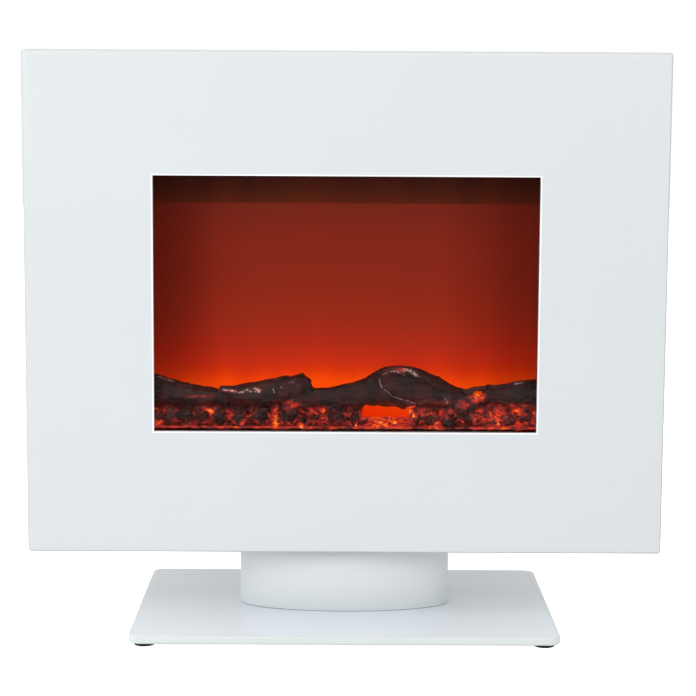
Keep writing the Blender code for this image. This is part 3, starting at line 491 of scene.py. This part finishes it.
COALS = (  # middle (x, z) and radius of each lump, and how much of its front is painted dark
    (-0.193, 0.214, 0.0078, 0.7), (-0.179, 0.2155, 0.0105, 0.8), (-0.161, 0.2158, 0.0098, 1.0),
    (-0.148, 0.2142, 0.0078, 1.0), (-0.128, 0.2138, 0.0095, 1.0), (-0.109, 0.2153, 0.0102, 1.0),
    (-0.0865, 0.2148, 0.0112, 1.0), (-0.059, 0.216, 0.013, 1.0), (-0.043, 0.212, 0.006, 0.8),
    (-0.031, 0.214, 0.0072, 0.9), (-0.011, 0.2155, 0.011, 1.0), (0.0085, 0.2137, 0.0092, 0.8),
    (0.0215, 0.2112, 0.0055, 0.5), (0.075, 0.2148, 0.008, 0.4), (0.088, 0.2132, 0.0095, 0.8),
    (0.1065, 0.21, 0.0098, 1.0), (0.121, 0.2185, 0.0095, 1.0), (0.134, 0.2138, 0.0075, 0.2),
    (0.148, 0.215, 0.008, 0.2), (0.158, 0.211, 0.006, 0.1), (0.17, 0.215, 0.0082, 1.0), (0.182, 0.2155, 0.007, 0.3),
    (0.191, 0.2122, 0.008, 0.3),
)
KNOT, KNOT_TILT, KNOT_LONG, KNOT_SHORT = (0.068, 0.2435), radians(-21), 0.039, 0.0150
EMBERS = (  # middle (x, z) of a hot patch, its half width and half height, and how hot it is
    (-0.184, 0.222, 0.011, 0.003, 0.5), (-0.192, 0.2104, 0.006, 0.004, 0.75), (-0.0965, 0.2187, 0.003, 0.005, 0.6),
    (-0.0715, 0.215, 0.006, 0.0095, 0.88), (-0.056, 0.226, 0.009, 0.005, 0.85), (-0.0455, 0.2085, 0.004, 0.004, 1.0),
    (-0.026, 0.2165, 0.006, 0.003, 0.75), (0.0195, 0.215, 0.004, 0.005, 0.7), (0.041, 0.2095, 0.024, 0.006, 0.68),
    (0.067, 0.219, 0.005, 0.008, 1.0), (0.091, 0.208, 0.008, 0.006, 0.65), (0.104, 0.2155, 0.006, 0.003, 0.95),
    (0.121, 0.229, 0.008, 0.005, 0.7), (0.136, 0.235, 0.008, 0.005, 0.9), (0.165, 0.2165, 0.028, 0.01, 0.75),
    (0.173, 0.22, 0.012, 0.003, 0.9), (-0.15, 0.212, 0.05, 0.004, 0.35), (-0.01, 0.212, 0.03, 0.004, 0.4),
    (-0.116, 0.241, 0.011, 0.0016, 0.5), (-0.091, 0.2426, 0.004, 0.003, 0.5), (0.057, 0.2645, 0.012, 0.0022, 0.4),
    (-0.151, 0.2352, 0.016, 0.0014, 0.5), (0.105, 0.23, 0.03, 0.005, 0.3), (0.18, 0.225, 0.02, 0.005, 0.45),
)
PALE_ASH_AND_GLINTS = (  # a pale line, partly ash and partly painted glints: its half width, then the (x, z) points along it
    (0.0008, ((-0.193, 0.2552), (-0.184, 0.2527), (-0.176, 0.25))),
    (0.001, ((-0.126, 0.2418), (-0.115, 0.2412), (-0.107, 0.24), (-0.1005, 0.2428), (-0.0968, 0.2405))),
    (0.0022, ((-0.093, 0.243), (-0.088, 0.2412))),
    (0.0008, ((-0.0745, 0.244), (-0.073, 0.2405))),
    (0.0008, ((-0.068, 0.2468), (-0.065, 0.2448))),
    (0.0012, ((-0.0575, 0.2512), (-0.0535, 0.25))),
    (0.0009, ((0.0344, 0.2557), (0.0365, 0.248), (0.042, 0.242), (0.0506, 0.2363), (0.0639, 0.2322), (0.0786, 0.228))),
    (0.0009, ((0.038, 0.26), (0.0475, 0.2638), (0.056, 0.262), (0.062, 0.2585))),
    (0.0016, ((0.06, 0.265), (0.068, 0.2625), (0.0745, 0.259))),
    (0.0007, ((0.099, 0.239), (0.104, 0.233), (0.1055, 0.2289))),
    (0.0009, ((0.174, 0.25), (0.183, 0.251))),
)


def flowing(points, step):
    """A smooth row of points through the given ones, about a step apart."""
    points = np.array(points, float)
    ends = np.vstack([2 * points[0] - points[1], points, 2 * points[-1] - points[-2]])
    row = []
    for a, b, c, d in zip(ends, ends[1:], ends[2:], ends[3:]):
        for t in np.linspace(0, 1, max(2, int(np.linalg.norm((c - b)[:2]) / step)), endpoint=False):
            row.append(b + 0.5 * t * (c - a + t * (2 * a - 5 * b + 4 * c - d + t * (3 * (b - c) + d - a))))
    return np.array(row + [points[-1]])


def closeness(at, middle, reach):
    """How near each of the (x, z) places is to a middle: one at it, falling away over the reach."""
    return np.exp(-(((at - np.array(middle)) / np.array(reach)) ** 2).sum(1))


bm = bmesh.new()
for depth, points in LIMBS:
    row = flowing(points, LIMB_STEP)
    rings = []
    for i, (x, z, radius) in enumerate(row):
        ahead = row[min(i + 1, len(row) - 1)] - row[max(i - 1, 0)]
        slope = Vector((ahead[0], ahead[1])).normalized()
        ring = []
        for side in range(LIMB_SIDES):
            angle = 2 * pi * side / LIMB_SIDES
            out = radius * cos(angle)
            ring.append(bm.verts.new((x - slope.y * out, depth + LIMB_DEPTH * radius * sin(angle), z + slope.x * out)))
        rings.append(ring)
    for near, far in zip(rings, rings[1:]):
        strip(bm, near, far)
    bm.faces.new(rings[0])
    bm.faces.new(rings[-1])
for number, (x, z, radius, _) in enumerate(COALS):
    lump = bmesh.ops.create_icosphere(bm, subdivisions=3, radius=radius)["verts"]
    for vert in lump:
        knob = 1 + 0.30 * noise.noise(vert.co * COAL_KNOBS + Vector((number * 7.3, 0, 0)))
        vert.co = vert.co * knob
        vert.co.y *= COAL_DEPTH
    bmesh.ops.translate(bm, verts=lump, vec=(x, COAL_FRONT - 0.0015 * (number % 3 - 1), z))
log_casting = place("log_casting", settled("log_casting", bm))
skin = log_casting.modifiers.new("one_skin", "REMESH")
skin.mode, skin.voxel_size, skin.adaptivity = "VOXEL", SKIN_STEP, 0.0
melted = bpy.data.meshes.new_from_object(log_casting.evaluated_get(bpy.context.evaluated_depsgraph_get()))
log_casting.modifiers.clear()
log_casting.data = melted

count = len(melted.vertices)
at = np.empty(count * 3)
melted.vertices.foreach_get("co", at)
at = at.reshape(-1, 3)
out = np.empty(count * 3)
melted.vertex_normals.foreach_get("vector", out)
out = out.reshape(-1, 3)
flat = at[:, [0, 2]]

# Bark runs along the limbs in ridges some 4 mm apart, coals are crumpled, and the knot is a boss in a groove.
bark = np.array([noise.fractal(Vector((x * BARK_ALONG, y * BARK_ROUND, z * BARK_ROUND)), 0.9, 2.0, 3)
                 for x, y, z in at])
crumple = np.array([noise.turbulence(Vector((x, y, z)) * CRUMPLES, 3, False) for x, y, z in at])
crack = np.array([noise.noise(Vector((x * 60, y * 150, z * 150))) for x, y, z in at])
low_down = np.clip((COAL_LEVEL - at[:, 2]) / FADE, 0, 1)
swell = (1 - low_down) * (BARK_TALL * bark - CRACK_DEEP * np.exp(-((crack / 0.07) ** 2)))
swell += low_down * (CRUMPLE_TALL * (crumple - 0.42))
across = flat - np.array(KNOT)
along = across @ np.array((cos(KNOT_TILT), sin(KNOT_TILT)))
aside = across @ np.array((-sin(KNOT_TILT), cos(KNOT_TILT)))
ring = np.sqrt((along / KNOT_LONG) ** 2 + (aside / KNOT_SHORT) ** 2)
facing = np.clip(-out[:, 1] * 2, 0, 1)
swell += facing * (BOSS_TALL * np.exp(-((ring / 0.85) ** 4)) - GROOVE_DEEP * np.exp(-(((ring - 1) / 0.10) ** 2)))
# Pale lines on the fronts of the limbs, partly ash and partly painted glints, each sunk as a shallow groove.
ash_and_glints = np.zeros(count)
for width, points in PALE_ASH_AND_GLINTS:
    for x, z in flowing([(*p, 0) for p in points], 0.0006)[:, :2]:
        ash_and_glints = np.maximum(ash_and_glints, np.exp(-((flat - (x, z)) ** 2).sum(1) / (2 * (0.9 * width) ** 2)))
ash_and_glints *= facing
swell -= PALE_LINE_DEEP * ash_and_glints
at += out * swell[:, None]
at[:, 0] = np.clip(at[:, 0], *CASTING_ENDS)
melted.vertices.foreach_set("co", at.ravel())

hollow = np.clip(0.55 - crumple, 0, 1) / 0.55
bare = np.ones(count)  # one where the paint is thin, nothing on the dark front of a coal
for x, z, radius, shade in COALS:
    bare *= 1 - shade * np.exp(-((((flat - (x, z)) ** 2).sum(1) / (0.92 * radius) ** 2) ** 2.5))
heat = 0.46 * np.clip((GLOW_LEVEL - at[:, 2]) / FADE, 0, 1) * (0.06 + 0.94 * bare) * (0.4 + 0.6 * hollow)
# The limbs' undersides low down get a painted underglow: the ember bed's light falling on them, painted as glow.
heat += 0.16 * np.clip(-out[:, 2], 0, 1) * np.clip((0.2400 - at[:, 2]) / 0.010, 0, 1)
for x, z, wide, tall, hot in EMBERS:
    heat = np.maximum(heat, hot * closeness(flat, (x, z), (wide, tall)) * (0.30 + 0.70 * bare))
for name, values in (("ember_heat", heat), ("ash_dust", ash_and_glints), ("ember_hollow", hollow)):
    melted.attributes.new(name, "FLOAT", "POINT").data.foreach_set("value", values)
melted.shade_smooth()


def ember_finish(name, dark, warm, rest_heat):
    """Charcoal paint over translucent red resin. It glows by the heat painted on the mesh, along fine bright veins."""
    made, tree, shader = finish(name, dark, 0.5, Specular_IOR_Level=0.3, Emission_Strength=1.0)
    where = add(tree, "ShaderNodeTexCoord").outputs["Object"]
    patches = add(tree, "ShaderNodeTexNoise", {"Vector": where, "Scale": 55.0, "Detail": 3.0, "Distortion": 0.6})
    paint = add(tree, "ShaderNodeValToRGB", {"Fac": patches.outputs["Fac"]})
    for element, (spot, colour) in zip(paint.color_ramp.elements, ((0.42, dark), (0.66, warm))):
        element.position, element.color = spot, linear(colour)
    # A pinkish white along the pale lines, partly ash and partly painted glints, broken into flakes.
    pale = add(tree, "ShaderNodeAttribute", attribute_name="ash_dust").outputs["Fac"]
    crisp = add(tree, "ShaderNodeMapRange", {"Value": pale, "From Min": 0.42, "From Max": 0.85})
    flakes = add(tree, "ShaderNodeTexNoise", {"Vector": where, "Scale": 420.0, "Detail": 2.0})
    broken = add(tree, "ShaderNodeMapRange", {"Value": flakes.outputs["Fac"], "From Min": 0.43, "From Max": 0.56})
    ash_and_glint_parts = {0: crisp.outputs["Result"], 1: broken.outputs["Result"]}
    ash_and_glint_share = add(tree, "ShaderNodeMath", ash_and_glint_parts, operation="MULTIPLY").outputs[0]
    base = add(tree, "ShaderNodeMix", {0: ash_and_glint_share, 6: paint.outputs["Color"], 7: linear("#E6C2B9")}, data_type="RGBA")
    tree.links.new(base.outputs[2], shader.inputs["Base Color"])
    # Veins are cracks in the paint about 7 mm apart and under a millimetre wide, bent by a coarser noise.
    bend = add(tree, "ShaderNodeTexNoise", {"Vector": where, "Scale": 90.0, "Detail": 2.0})
    bent = add(tree, "ShaderNodeVectorMath", {0: bend.outputs["Color"], "Scale": 0.012}, operation="SCALE")
    bent = add(tree, "ShaderNodeVectorMath", {0: where, 1: bent.outputs["Vector"]}, operation="ADD")
    at_bend = {"Vector": bent.outputs["Vector"], "Scale": 150.0}
    cells = add(tree, "ShaderNodeTexVoronoi", at_bend, feature="DISTANCE_TO_EDGE")
    vein = add(tree, "ShaderNodeMapRange", {"Value": cells.outputs["Distance"], "From Min": 0.22, "From Max": 0.0})
    fire = add(tree, "ShaderNodeTexNoise", {"Vector": where, "Scale": 130.0, "Detail": 4.0, "Distortion": 0.8})
    flicker = add(tree, "ShaderNodeMapRange", {"Value": fire.outputs["Fac"], "From Min": 0.36, "From Max": 0.66})
    hollow_in = add(tree, "ShaderNodeAttribute", attribute_name="ember_hollow").outputs["Fac"]
    glow = 0.16
    for source, share in ((vein.outputs["Result"], 0.38), (flicker.outputs["Result"], 0.36), (hollow_in, 0.28)):
        glow = add(tree, "ShaderNodeMath", {0: source, 1: share, 2: glow}, operation="MULTIPLY_ADD").outputs[0]
    heat_in = add(tree, "ShaderNodeAttribute", attribute_name="ember_heat").outputs["Fac"]
    warmth = add(tree, "ShaderNodeMath", {0: heat_in, 1: rest_heat}, operation="ADD").outputs[0]
    hotness = add(tree, "ShaderNodeMath", {0: glow, 1: warmth}, operation="MULTIPLY")
    fire_stops = [(0.0, "#000000"), (0.10, "#120403"), (0.24, "#4A120E"), (0.40, "#8C2420"), (0.56, "#C62E1E"),
                  (0.70, "#EE4C0A"), (0.84, "#FF8A1E"), (0.96, "#FFC860")]
    tree.links.new(glow_ramp(tree, hotness.outputs[0], fire_stops), shader.inputs["Emission Color"])
    grain = add(tree, "ShaderNodeTexNoise", {"Vector": where, "Scale": 260.0, "Detail": 4.0})
    rough = add(tree, "ShaderNodeBump", {"Height": grain.outputs["Fac"], "Strength": 0.9, "Distance": 0.0010})
    tree.links.new(rough.outputs["Normal"], shader.inputs["Normal"])
    worn = add(tree, "ShaderNodeMapRange", {"Value": grain.outputs["Fac"], "To Min": 0.30, "To Max": 0.62})
    tree.links.new(worn.outputs["Result"], shader.inputs["Roughness"])
    made.cycles.emission_sampling = "NONE"
    return made


charred = ember_finish("charcoal_painted_resin", "#2A1A17", "#50221F", 0.04)
log_casting.data.materials.append(charred)
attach(log_casting, BODY)
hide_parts("log_set")

# ---- Ember bed ----------------------------------------------------------------------------------------------------
# A crumpled sheet of translucent red resin that slopes up from the window, with its own lamps underneath. It is
# sprayed charcoal all over but wiped back on the ridges and left bare along its front lip.

low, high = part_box("ember_bed")
BED_THICK, BED_FRONT, BED_RISE, CRUMPLE, LIP_GAP = 0.002, 0.2066, 0.0040, 0.0036, 0.0012
DIM_LIP_AT, DIM_LIP_WIDE = 0.106, 0.013  # a stretch of the lip under the large dark coal at the right, where the glow drops to a tenth
columns, rows = 300, 34
xs = np.linspace(low.x, high.x, columns)
ys = np.linspace(low.y + LIP_GAP, high.y, rows)
verts, heats, hollows = [], [], []
for y in ys:
    rise = (y - ys[0]) / (ys[-1] - ys[0])
    level = BED_FRONT + BED_RISE * min(1.0, rise / 0.4)
    free = min(1.0, rise * 8, (1 - rise) * 8)
    for x in xs:
        fold = noise.turbulence(Vector((x * 120, y * 120, 4.2)), 4, False)
        verts.append((x, y, level + free * CRUMPLE * (fold - 0.45)))
        hollows.append(max(0.0, 0.6 - fold) / 0.6)
        warm = max(hot * np.exp(-(((x - ex) / wide) ** 2) - ((verts[-1][2] - ez) / (1.3 * tall)) ** 2)
                   for ex, ez, wide, tall, hot in EMBERS)
        lip_heat = 0.36 * (1 - 0.9 * np.exp(-(((x - DIM_LIP_AT) / DIM_LIP_WIDE) ** 2)))
        heats.append(max(warm, lip_heat if rise < 0.04 else 0.0))
bm = bmesh.new()
top = [bm.verts.new(v) for v in verts]
under = [bm.verts.new((x, y, z - BED_THICK)) for x, y, z in verts]
for sheet, flip in ((top, False), (under, True)):
    for j in range(rows - 1):
        for i in range(columns - 1):
            corner = (j * columns + i, j * columns + i + 1, (j + 1) * columns + i + 1, (j + 1) * columns + i)
            bm.faces.new([sheet[c] for c in (reversed(corner) if flip else corner)])
rim = list(range(columns)) + [j * columns + columns - 1 for j in range(1, rows)]
rim += [(rows - 1) * columns + i for i in range(columns - 2, -1, -1)] + [j * columns for j in range(rows - 2, 0, -1)]
for a, b in zip(rim, rim[1:] + rim[:1]):
    bm.faces.new((top[b], top[a], under[a], under[b]))
bed_mesh = settled("ember_sheet", bm, 60)
for name, values in (("ember_heat", heats * 2), ("ember_hollow", hollows * 2)):
    bed_mesh.attributes.new(name, "FLOAT", "POINT").data.foreach_set("value", values)
embers = ember_finish("ember_red_resin", "#241210", "#4E1F19", 0.20)
ember_sheet = place("ember_sheet", bed_mesh, embers)
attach(ember_sheet, BODY)
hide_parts("ember_bed")

# ---- Casing -------------------------------------------------------------------------------------------------------
# Folded 1.2 mm steel sheets, spot welded into a shallow box and powder coated satin white like the column.
# The coat rounds every cut edge, and the back cover is punched with rows of slots.

body_of = {node: body for body, nodes in record["behaviour"]["bodies"].items() for node in nodes}


def softened(node, name, radius, *finishes):
    """A piece in a CAD node's own shape, with its edges rounded as a mould or a coat of paint leaves them."""
    mesh = frame["nodes"][node].data.copy()
    mesh.materials.clear()
    bm = bmesh.new()
    bm.from_mesh(mesh)
    bmesh.ops.remove_doubles(bm, verts=bm.verts, dist=1e-5)
    bmesh.ops.dissolve_limit(bm, angle_limit=radians(1), verts=bm.verts, edges=bm.edges)
    corners = [e for e in bm.edges if len(e.link_faces) == 2 and e.calc_face_angle() > radians(35)]
    bmesh.ops.bevel(bm, geom=corners, offset=radius, segments=2, profile=0.5, affect="EDGES", clamp_overlap=True)
    bm.to_mesh(mesh)
    bm.free()
    mesh.name = name
    mesh.shade_smooth()
    mesh.set_sharp_from_angle(angle=radians(20))
    piece = place(name, mesh, *finishes)
    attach(piece, body_of[node])
    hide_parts(node)


for node in ("casing_left", "casing_right", "casing_top", "casing_bottom", "back_cover"):
    softened(node, node + "_sheet", 0.0003, powder)

# ---- Louvre hoods -------------------------------------------------------------------------------------------------
# Above each slot in the back cover the sheet is pressed out into a hood, 61 mm long, that keeps dust and fingers out.


def set_out(name, template, finish_, body, columns, rows, across, up, middle):
    """Copies of a template's mesh in upright rows and columns, made by Geometry Nodes into one plain mesh."""
    tree = bpy.data.node_groups.new(name, "GeometryNodeTree")
    inputs = (("Columns", "Int", columns), ("Rows", "Int", rows), ("Width", "Float", across), ("Height", "Float", up),
              ("Middle", "Vector", middle))
    for title, kind, _ in inputs:
        tree.interface.new_socket(title, in_out="INPUT", socket_type="NodeSocket" + kind)
    tree.interface.new_socket("Mesh", in_out="OUTPUT", socket_type="NodeSocketGeometry")
    given = add(tree, "NodeGroupInput").outputs
    grid = add(tree, "GeometryNodeMeshGrid", {"Size X": given["Width"], "Size Y": given["Height"],
                                              "Vertices X": given["Columns"], "Vertices Y": given["Rows"]})
    stand = add(tree, "GeometryNodeTransform", {"Geometry": grid.outputs["Mesh"], "Translation": given["Middle"],
                                                "Rotation": (pi / 2, 0, 0)})
    shape = add(tree, "GeometryNodeObjectInfo", {"Object": template})
    set_on = {"Points": stand.outputs[0], "Instance": shape.outputs["Geometry"]}
    copies = add(tree, "GeometryNodeInstanceOnPoints", set_on)
    real = add(tree, "GeometryNodeRealizeInstances", {0: copies.outputs[0]})
    painted = add(tree, "GeometryNodeSetMaterial", {"Geometry": real.outputs[0], "Material": finish_})
    add(tree, "NodeGroupOutput", {"Mesh": painted.outputs[0]})
    maker = place(name + "_maker", bpy.data.meshes.new(name + "_maker"))
    setting = maker.modifiers.new("set_out", "NODES")
    setting.node_group = tree
    identifiers = {item.name: item.identifier for item in tree.interface.items_tree if item.in_out == "INPUT"}
    for title, _, value in inputs:
        setting[identifiers[title]] = value
    mesh = bpy.data.meshes.new_from_object(maker.evaluated_get(bpy.context.evaluated_depsgraph_get()))
    bpy.data.objects.remove(maker)
    bpy.data.objects.remove(template)
    mesh.name = name
    mesh.shade_smooth()
    mesh.set_sharp_from_angle(angle=radians(40))
    piece = place(name, mesh)
    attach(piece, body)
    return piece


COVER_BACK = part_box("back_cover")[1].y
HOOD_LONG, HOOD_TALL, HOOD_PROUD, HOOD_SKIN = 0.061, 0.0052, 0.0026, 0.0008


def hood_template():
    """A quarter-round hood with closed ends, open below, with a wall of even thickness."""
    lengths, turns, end_share = 12, 5, 0.12
    bm = bmesh.new()
    shells = []
    for shrink in (0.0, HOOD_SKIN):
        rings = []
        for i in range(lengths + 1):
            share = i / lengths
            x = (HOOD_LONG - 2 * shrink) * (share - 0.5)
            end = sin(pi * min(share, 1 - share, end_share) / (2 * end_share)) ** 0.5
            ring = []
            for j in range(turns + 1):
                angle = pi / 2 * j / turns
                out = (HOOD_PROUD - shrink) * end * cos(angle)
                rise = (HOOD_TALL - shrink) * (0.35 + 0.65 * end) * sin(angle)
                ring.append(bm.verts.new((x, COVER_BACK - 0.0001 + out, rise)))
            rings.append(ring)
        shells.append(rings)
    outer, inner = shells
    for i in range(lengths):
        for j in range(turns):
            bm.faces.new((outer[i][j], outer[i + 1][j], outer[i + 1][j + 1], outer[i][j + 1]))
            bm.faces.new((inner[i][j], inner[i][j + 1], inner[i + 1][j + 1], inner[i + 1][j]))
        for j in (0, turns):
            bm.faces.new((outer[i][j], inner[i][j], inner[i + 1][j], outer[i + 1][j]))
    for i in (0, lengths):
        for j in range(turns):
            bm.faces.new((outer[i][j], outer[i][j + 1], inner[i][j + 1], inner[i][j]))
    bmesh.ops.remove_doubles(bm, verts=bm.verts, dist=1e-6)
    return place("hood", settled("hood", bm))


SLOT_COLUMNS, SLOT_PITCH, ROW_PITCH, SLOT_TALL = 4, 0.070, 0.009, 0.004
for name, rows, lowest in (("upper_louvres", 7, 0.478), ("lower_louvres", 4, 0.136)):
    middle = (0.0, 0.0, lowest + ROW_PITCH * (rows - 1) / 2 - SLOT_TALL / 2 + 0.0004)
    set_out(name, hood_template(), powder, BODY, SLOT_COLUMNS, rows,
            SLOT_PITCH * (SLOT_COLUMNS - 1), ROW_PITCH * (rows - 1), middle)

# ---- Cover screws -------------------------------------------------------------------------------------------------
# Zinc-plated pan-head self-tapping screws with a cross recess, cold headed and bright with a faint blue cast.

zinc = grained("bright_zinc_plated_steel", ("#AEB3BA", "#D2D5D8"), (0.22, 0.42), 260, 3, Metallic=1.0)


def screw_head(radius, proud, shank, length):
    """A pan head with a cross recess, on a plain shank, pointing back along Y from the origin."""
    sides, steps = 48, 9
    cross_half, cross_reach, cross_deep = 0.17 * radius, 0.62 * radius, 0.55 * proud
    bm = bmesh.new()
    rings = []
    for step in range(1, steps + 1):
        share = step / steps
        ring = []
        for side in range(sides):
            angle = 2 * pi * side / sides
            x, z = radius * share * cos(angle), radius * share * sin(angle)
            level = proud * (1 - share ** 5)
            wing, reach = min(abs(x), abs(z)), max(abs(x), abs(z))
            if wing < cross_half and reach < cross_reach:
                level -= cross_deep
            ring.append(bm.verts.new((x, level, z)))
        rings.append(ring)
    for width, level in ((shank, 0.0), (shank, -length)):
        rings.append([bm.verts.new((width * cos(2 * pi * k / sides), level, width * sin(2 * pi * k / sides)))
                      for k in range(sides)])
    for near, far in zip(rings, rings[1:]):
        strip(bm, near, far)
    bm.faces.new(rings[0])
    bm.faces.new(rings[-1])
    return place("screw", settled("screw", bm))


SCREWS = [f"cover_screw_{i}" for i in range(1, 7)]
first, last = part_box("cover_screw_1"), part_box("cover_screw_6")
near, far = (first[0] + first[1]) / 2, (last[0] + last[1]) / 2
SHANK = 0.0018
head = screw_head((first[1].x - first[0].x) / 2, first[1].y - COVER_BACK, SHANK, COVER_BACK - first[0].y)
cover_screws = set_out("cover_screws", head, zinc, BODY, 2, 3, far.x - near.x, far.z - near.z,
                       ((near.x + far.x) / 2, COVER_BACK, (near.z + far.z) / 2))
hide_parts(*SCREWS)

# ---- Cord gland ---------------------------------------------------------------------------------------------------
# A black nylon bush with a snap collar and a short ribbed sleeve, pushed through the back cover for the mains lead.

# Black plastic from a spark-eroded mould: a fine, even texture that leaves a dull sheen.
plastic = grained("fine_spark_moulded_black_plastic", ("#141415",), (0.40, 0.56), 1600, 2, 0.35)

low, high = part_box("cord_gland")
middle = (low + high) / 2
profile = [(0.0036, -0.0100), (0.0062, -0.0100), (0.0062, -0.0055), (0.0088, -0.0055), (0.0090, -0.0053),
           (0.0090, -0.0017), (0.0062, -0.0015), (0.0062, 0.0003), (0.0090, 0.0003), (0.0090, 0.0030), (0.0086, 0.0035),
           (0.0070, 0.0035)]
for rib in range(4):
    start = 0.0040 + 0.0013 * rib
    width = 0.0068 - 0.0004 * rib
    neck = width - 0.0008
    profile += [(width, start), (width, start + 0.0006), (neck, start + 0.0008), (neck, start + 0.0012)]
profile += [(0.0052, 0.0092), (0.0050, 0.0095), (0.0036, 0.0095)]
point_back = Matrix.Translation((middle.x, COVER_BACK, middle.z)) @ Matrix.Rotation(-pi / 2, 4, "X")
sleeve_mesh = turned("gland_sleeve", profile + profile[:1], 64, point_back)
gland = place("gland_sleeve", sleeve_mesh, plastic)
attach(gland, BODY)
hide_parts("cord_gland")

# ---- Outlet grille ------------------------------------------------------------------------------------------------
# A black moulding that snaps into the casing's top over the warm-air outlet, with 26 slots between its vanes.

softened("outlet_grille", "outlet_vanes", 0.00035, plastic)

# ---- Controls -----------------------------------------------------------------------------------------------------
# A black bezel in the right side carries three rockers and the dimmer's knob. On and off marks and the dial's
# ticks are pad-printed in white.

SWITCHES = ("power_switch", "heat_low_switch", "heat_high_switch")
softened("control_bezel", "control_bezel_moulding", 0.0003, plastic)
for switch in SWITCHES:
    softened(switch, switch + "_rocker", 0.0005, plastic)

# Pad-printed ink: a satin off-white, a little uneven where the pad left less of it.
printed = grained("white_pad_print", ("#D9D9D5", "#F2F2EF"), (0.5,), 700)

low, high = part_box("dimmer_knob")
knob_middle = (low + high) / 2
GRIP_RIBS, GRIP_SIDES = 24, 144
profile = [(0.0, 0.0390), (0.0070, 0.0390), (0.0084, 0.0387), (0.0091, 0.0379), (0.0096, 0.0305), (0.0100, 0.0297),
           (0.0108, 0.0292), (0.0110, 0.0288), (0.0110, 0.0263), (0.0108, 0.0262), (0.0030, 0.0262), (0.0030, 0.0002),
           (0.0028, 0.0), (0.0, 0.0)]
knob_mesh = turned("knob_cap", profile, GRIP_SIDES)
for vert in knob_mesh.vertices:
    radius, height = Vector(vert.co.xy).length, vert.co.z
    if 0.0300 < height < 0.0388 and radius > 0.0080:
        angle = np.arctan2(vert.co.y, vert.co.x)
        groove = 1 - 0.045 * (0.5 - 0.5 * cos(GRIP_RIBS * angle)) ** 2
        vert.co.x *= groove
        vert.co.y *= groove
point_out = Matrix.Translation((low.x, knob_middle.y, knob_middle.z)) @ Matrix.Rotation(pi / 2, 4, "Y")
knob_mesh.transform(point_out)
knob_cap = place("knob_cap", knob_mesh, plastic)
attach(knob_cap, "dimmer_knob")
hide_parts("dimmer_knob")


def bar(bm, middle, along, wide, long, thick):
    """A thin round-ended bar of print standing off the right side, long in the direction along, in the YZ plane."""
    aside = Vector((0, -along.z, along.y))
    outline = []
    for side in (1, -1):
        for step in range(7):
            angle = pi * (step / 6) - pi / 2
            reach = side * (long / 2 - wide / 2 + wide / 2 * cos(angle))
            outline.append(middle + along * reach + aside * (side * wide / 2 * sin(angle)))
    near = [bm.verts.new(p) for p in outline]
    far = [bm.verts.new(p + Vector((thick, 0, 0))) for p in outline]
    bm.faces.new(near)
    bm.faces.new(far)
    strip(bm, near, far)


def print_piece(name, bm, body):
    """A piece of print made of bars, riding on a body."""
    piece = place(name, settled(name, bm), printed)
    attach(piece, body)


bm = bmesh.new()
bar(bm, Vector((high.x - 0.0001, knob_middle.y, knob_middle.z + 0.0048)), Vector((0, 0, 1)), 0.0011, 0.0056, 0.0003)
print_piece("knob_pointer", bm, "dimmer_knob")

bezel_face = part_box("control_bezel")[1].x
INK, SUNK, TICKS, DIAL_TURN, DIAL_RADIUS = 0.00015, 0.00005, 11, 270, 0.0140
bm = bmesh.new()
for tick in range(TICKS):
    angle = radians(DIAL_TURN * (tick / (TICKS - 1) - 0.5))
    out = Vector((0, -sin(angle), cos(angle)))
    long = 0.0030 if tick in (0, 5, 10) else 0.0018
    bar(bm, Vector((bezel_face - SUNK, knob_middle.y, knob_middle.z)) + out * DIAL_RADIUS, out, 0.0005, long, INK)
for switch in SWITCHES:
    near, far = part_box(switch)
    above = Vector((bezel_face - SUNK, (near.y + far.y) / 2, far.z + 0.0032))
    bar(bm, above, Vector((0, 0, 1)), 0.0006, 0.0024, INK)
print_piece("bezel_print", bm, BODY)

# ---- Inner works --------------------------------------------------------------------------------------------------
# Pressed zinc steel, polished reflector sheet, nylon and bare circuit boards, glimpsed through the slots and grille.

finishes = {
    "zinc_steel": zinc,
    "rubber": rubber,
    "black_plastic": plastic,
    "black_heat_paint": black_paint,
    "white_powder_coat": powder,
    # Polished reflector sheet: near a mirror, clouded by fingers.
    "mirror_sheet": grained(
        "polished_aluminium_reflector", ("#D8DADC", "#E6E8EA"), (0.06, 0.14), 40, 3, 0.3, Metallic=1.0),
    # Rolled aluminium straight from the mill: greyer, with a dull sheen.
    "aluminium_fins": grained(
        "mill_finish_aluminium_fins", ("#A9ABAE", "#C6C8CA"), (0.30, 0.45), 300, 3, 0.3, Metallic=1.0),
    # Nylon: nearly black and matt where it is filled with glass, a waxy cream where it is not.
    "dark_nylon": grained("glass_filled_nylon", ("#101113", "#1B1C1F"), (0.45, 0.60), 700, 3, 0.3, 0.0002),
    "natural_nylon": grained("natural_nylon", ("#C9C4B4", "#D8D3C4"), (0.35, 0.45), 300, 3, 0.3),
    # Solder resist: glossy green lacquer over a circuit board.
    "circuit_board": grained("green_solder_resist", ("#0C4427", "#14603A"), (0.25, 0.40), 240, 3, 0.3),
}
for row in record["subparts"]:
    if row["material_slot"] in finishes and row["node"] not in coated:
        coat(row["node"], finishes[row["material_slot"]])

low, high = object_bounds()
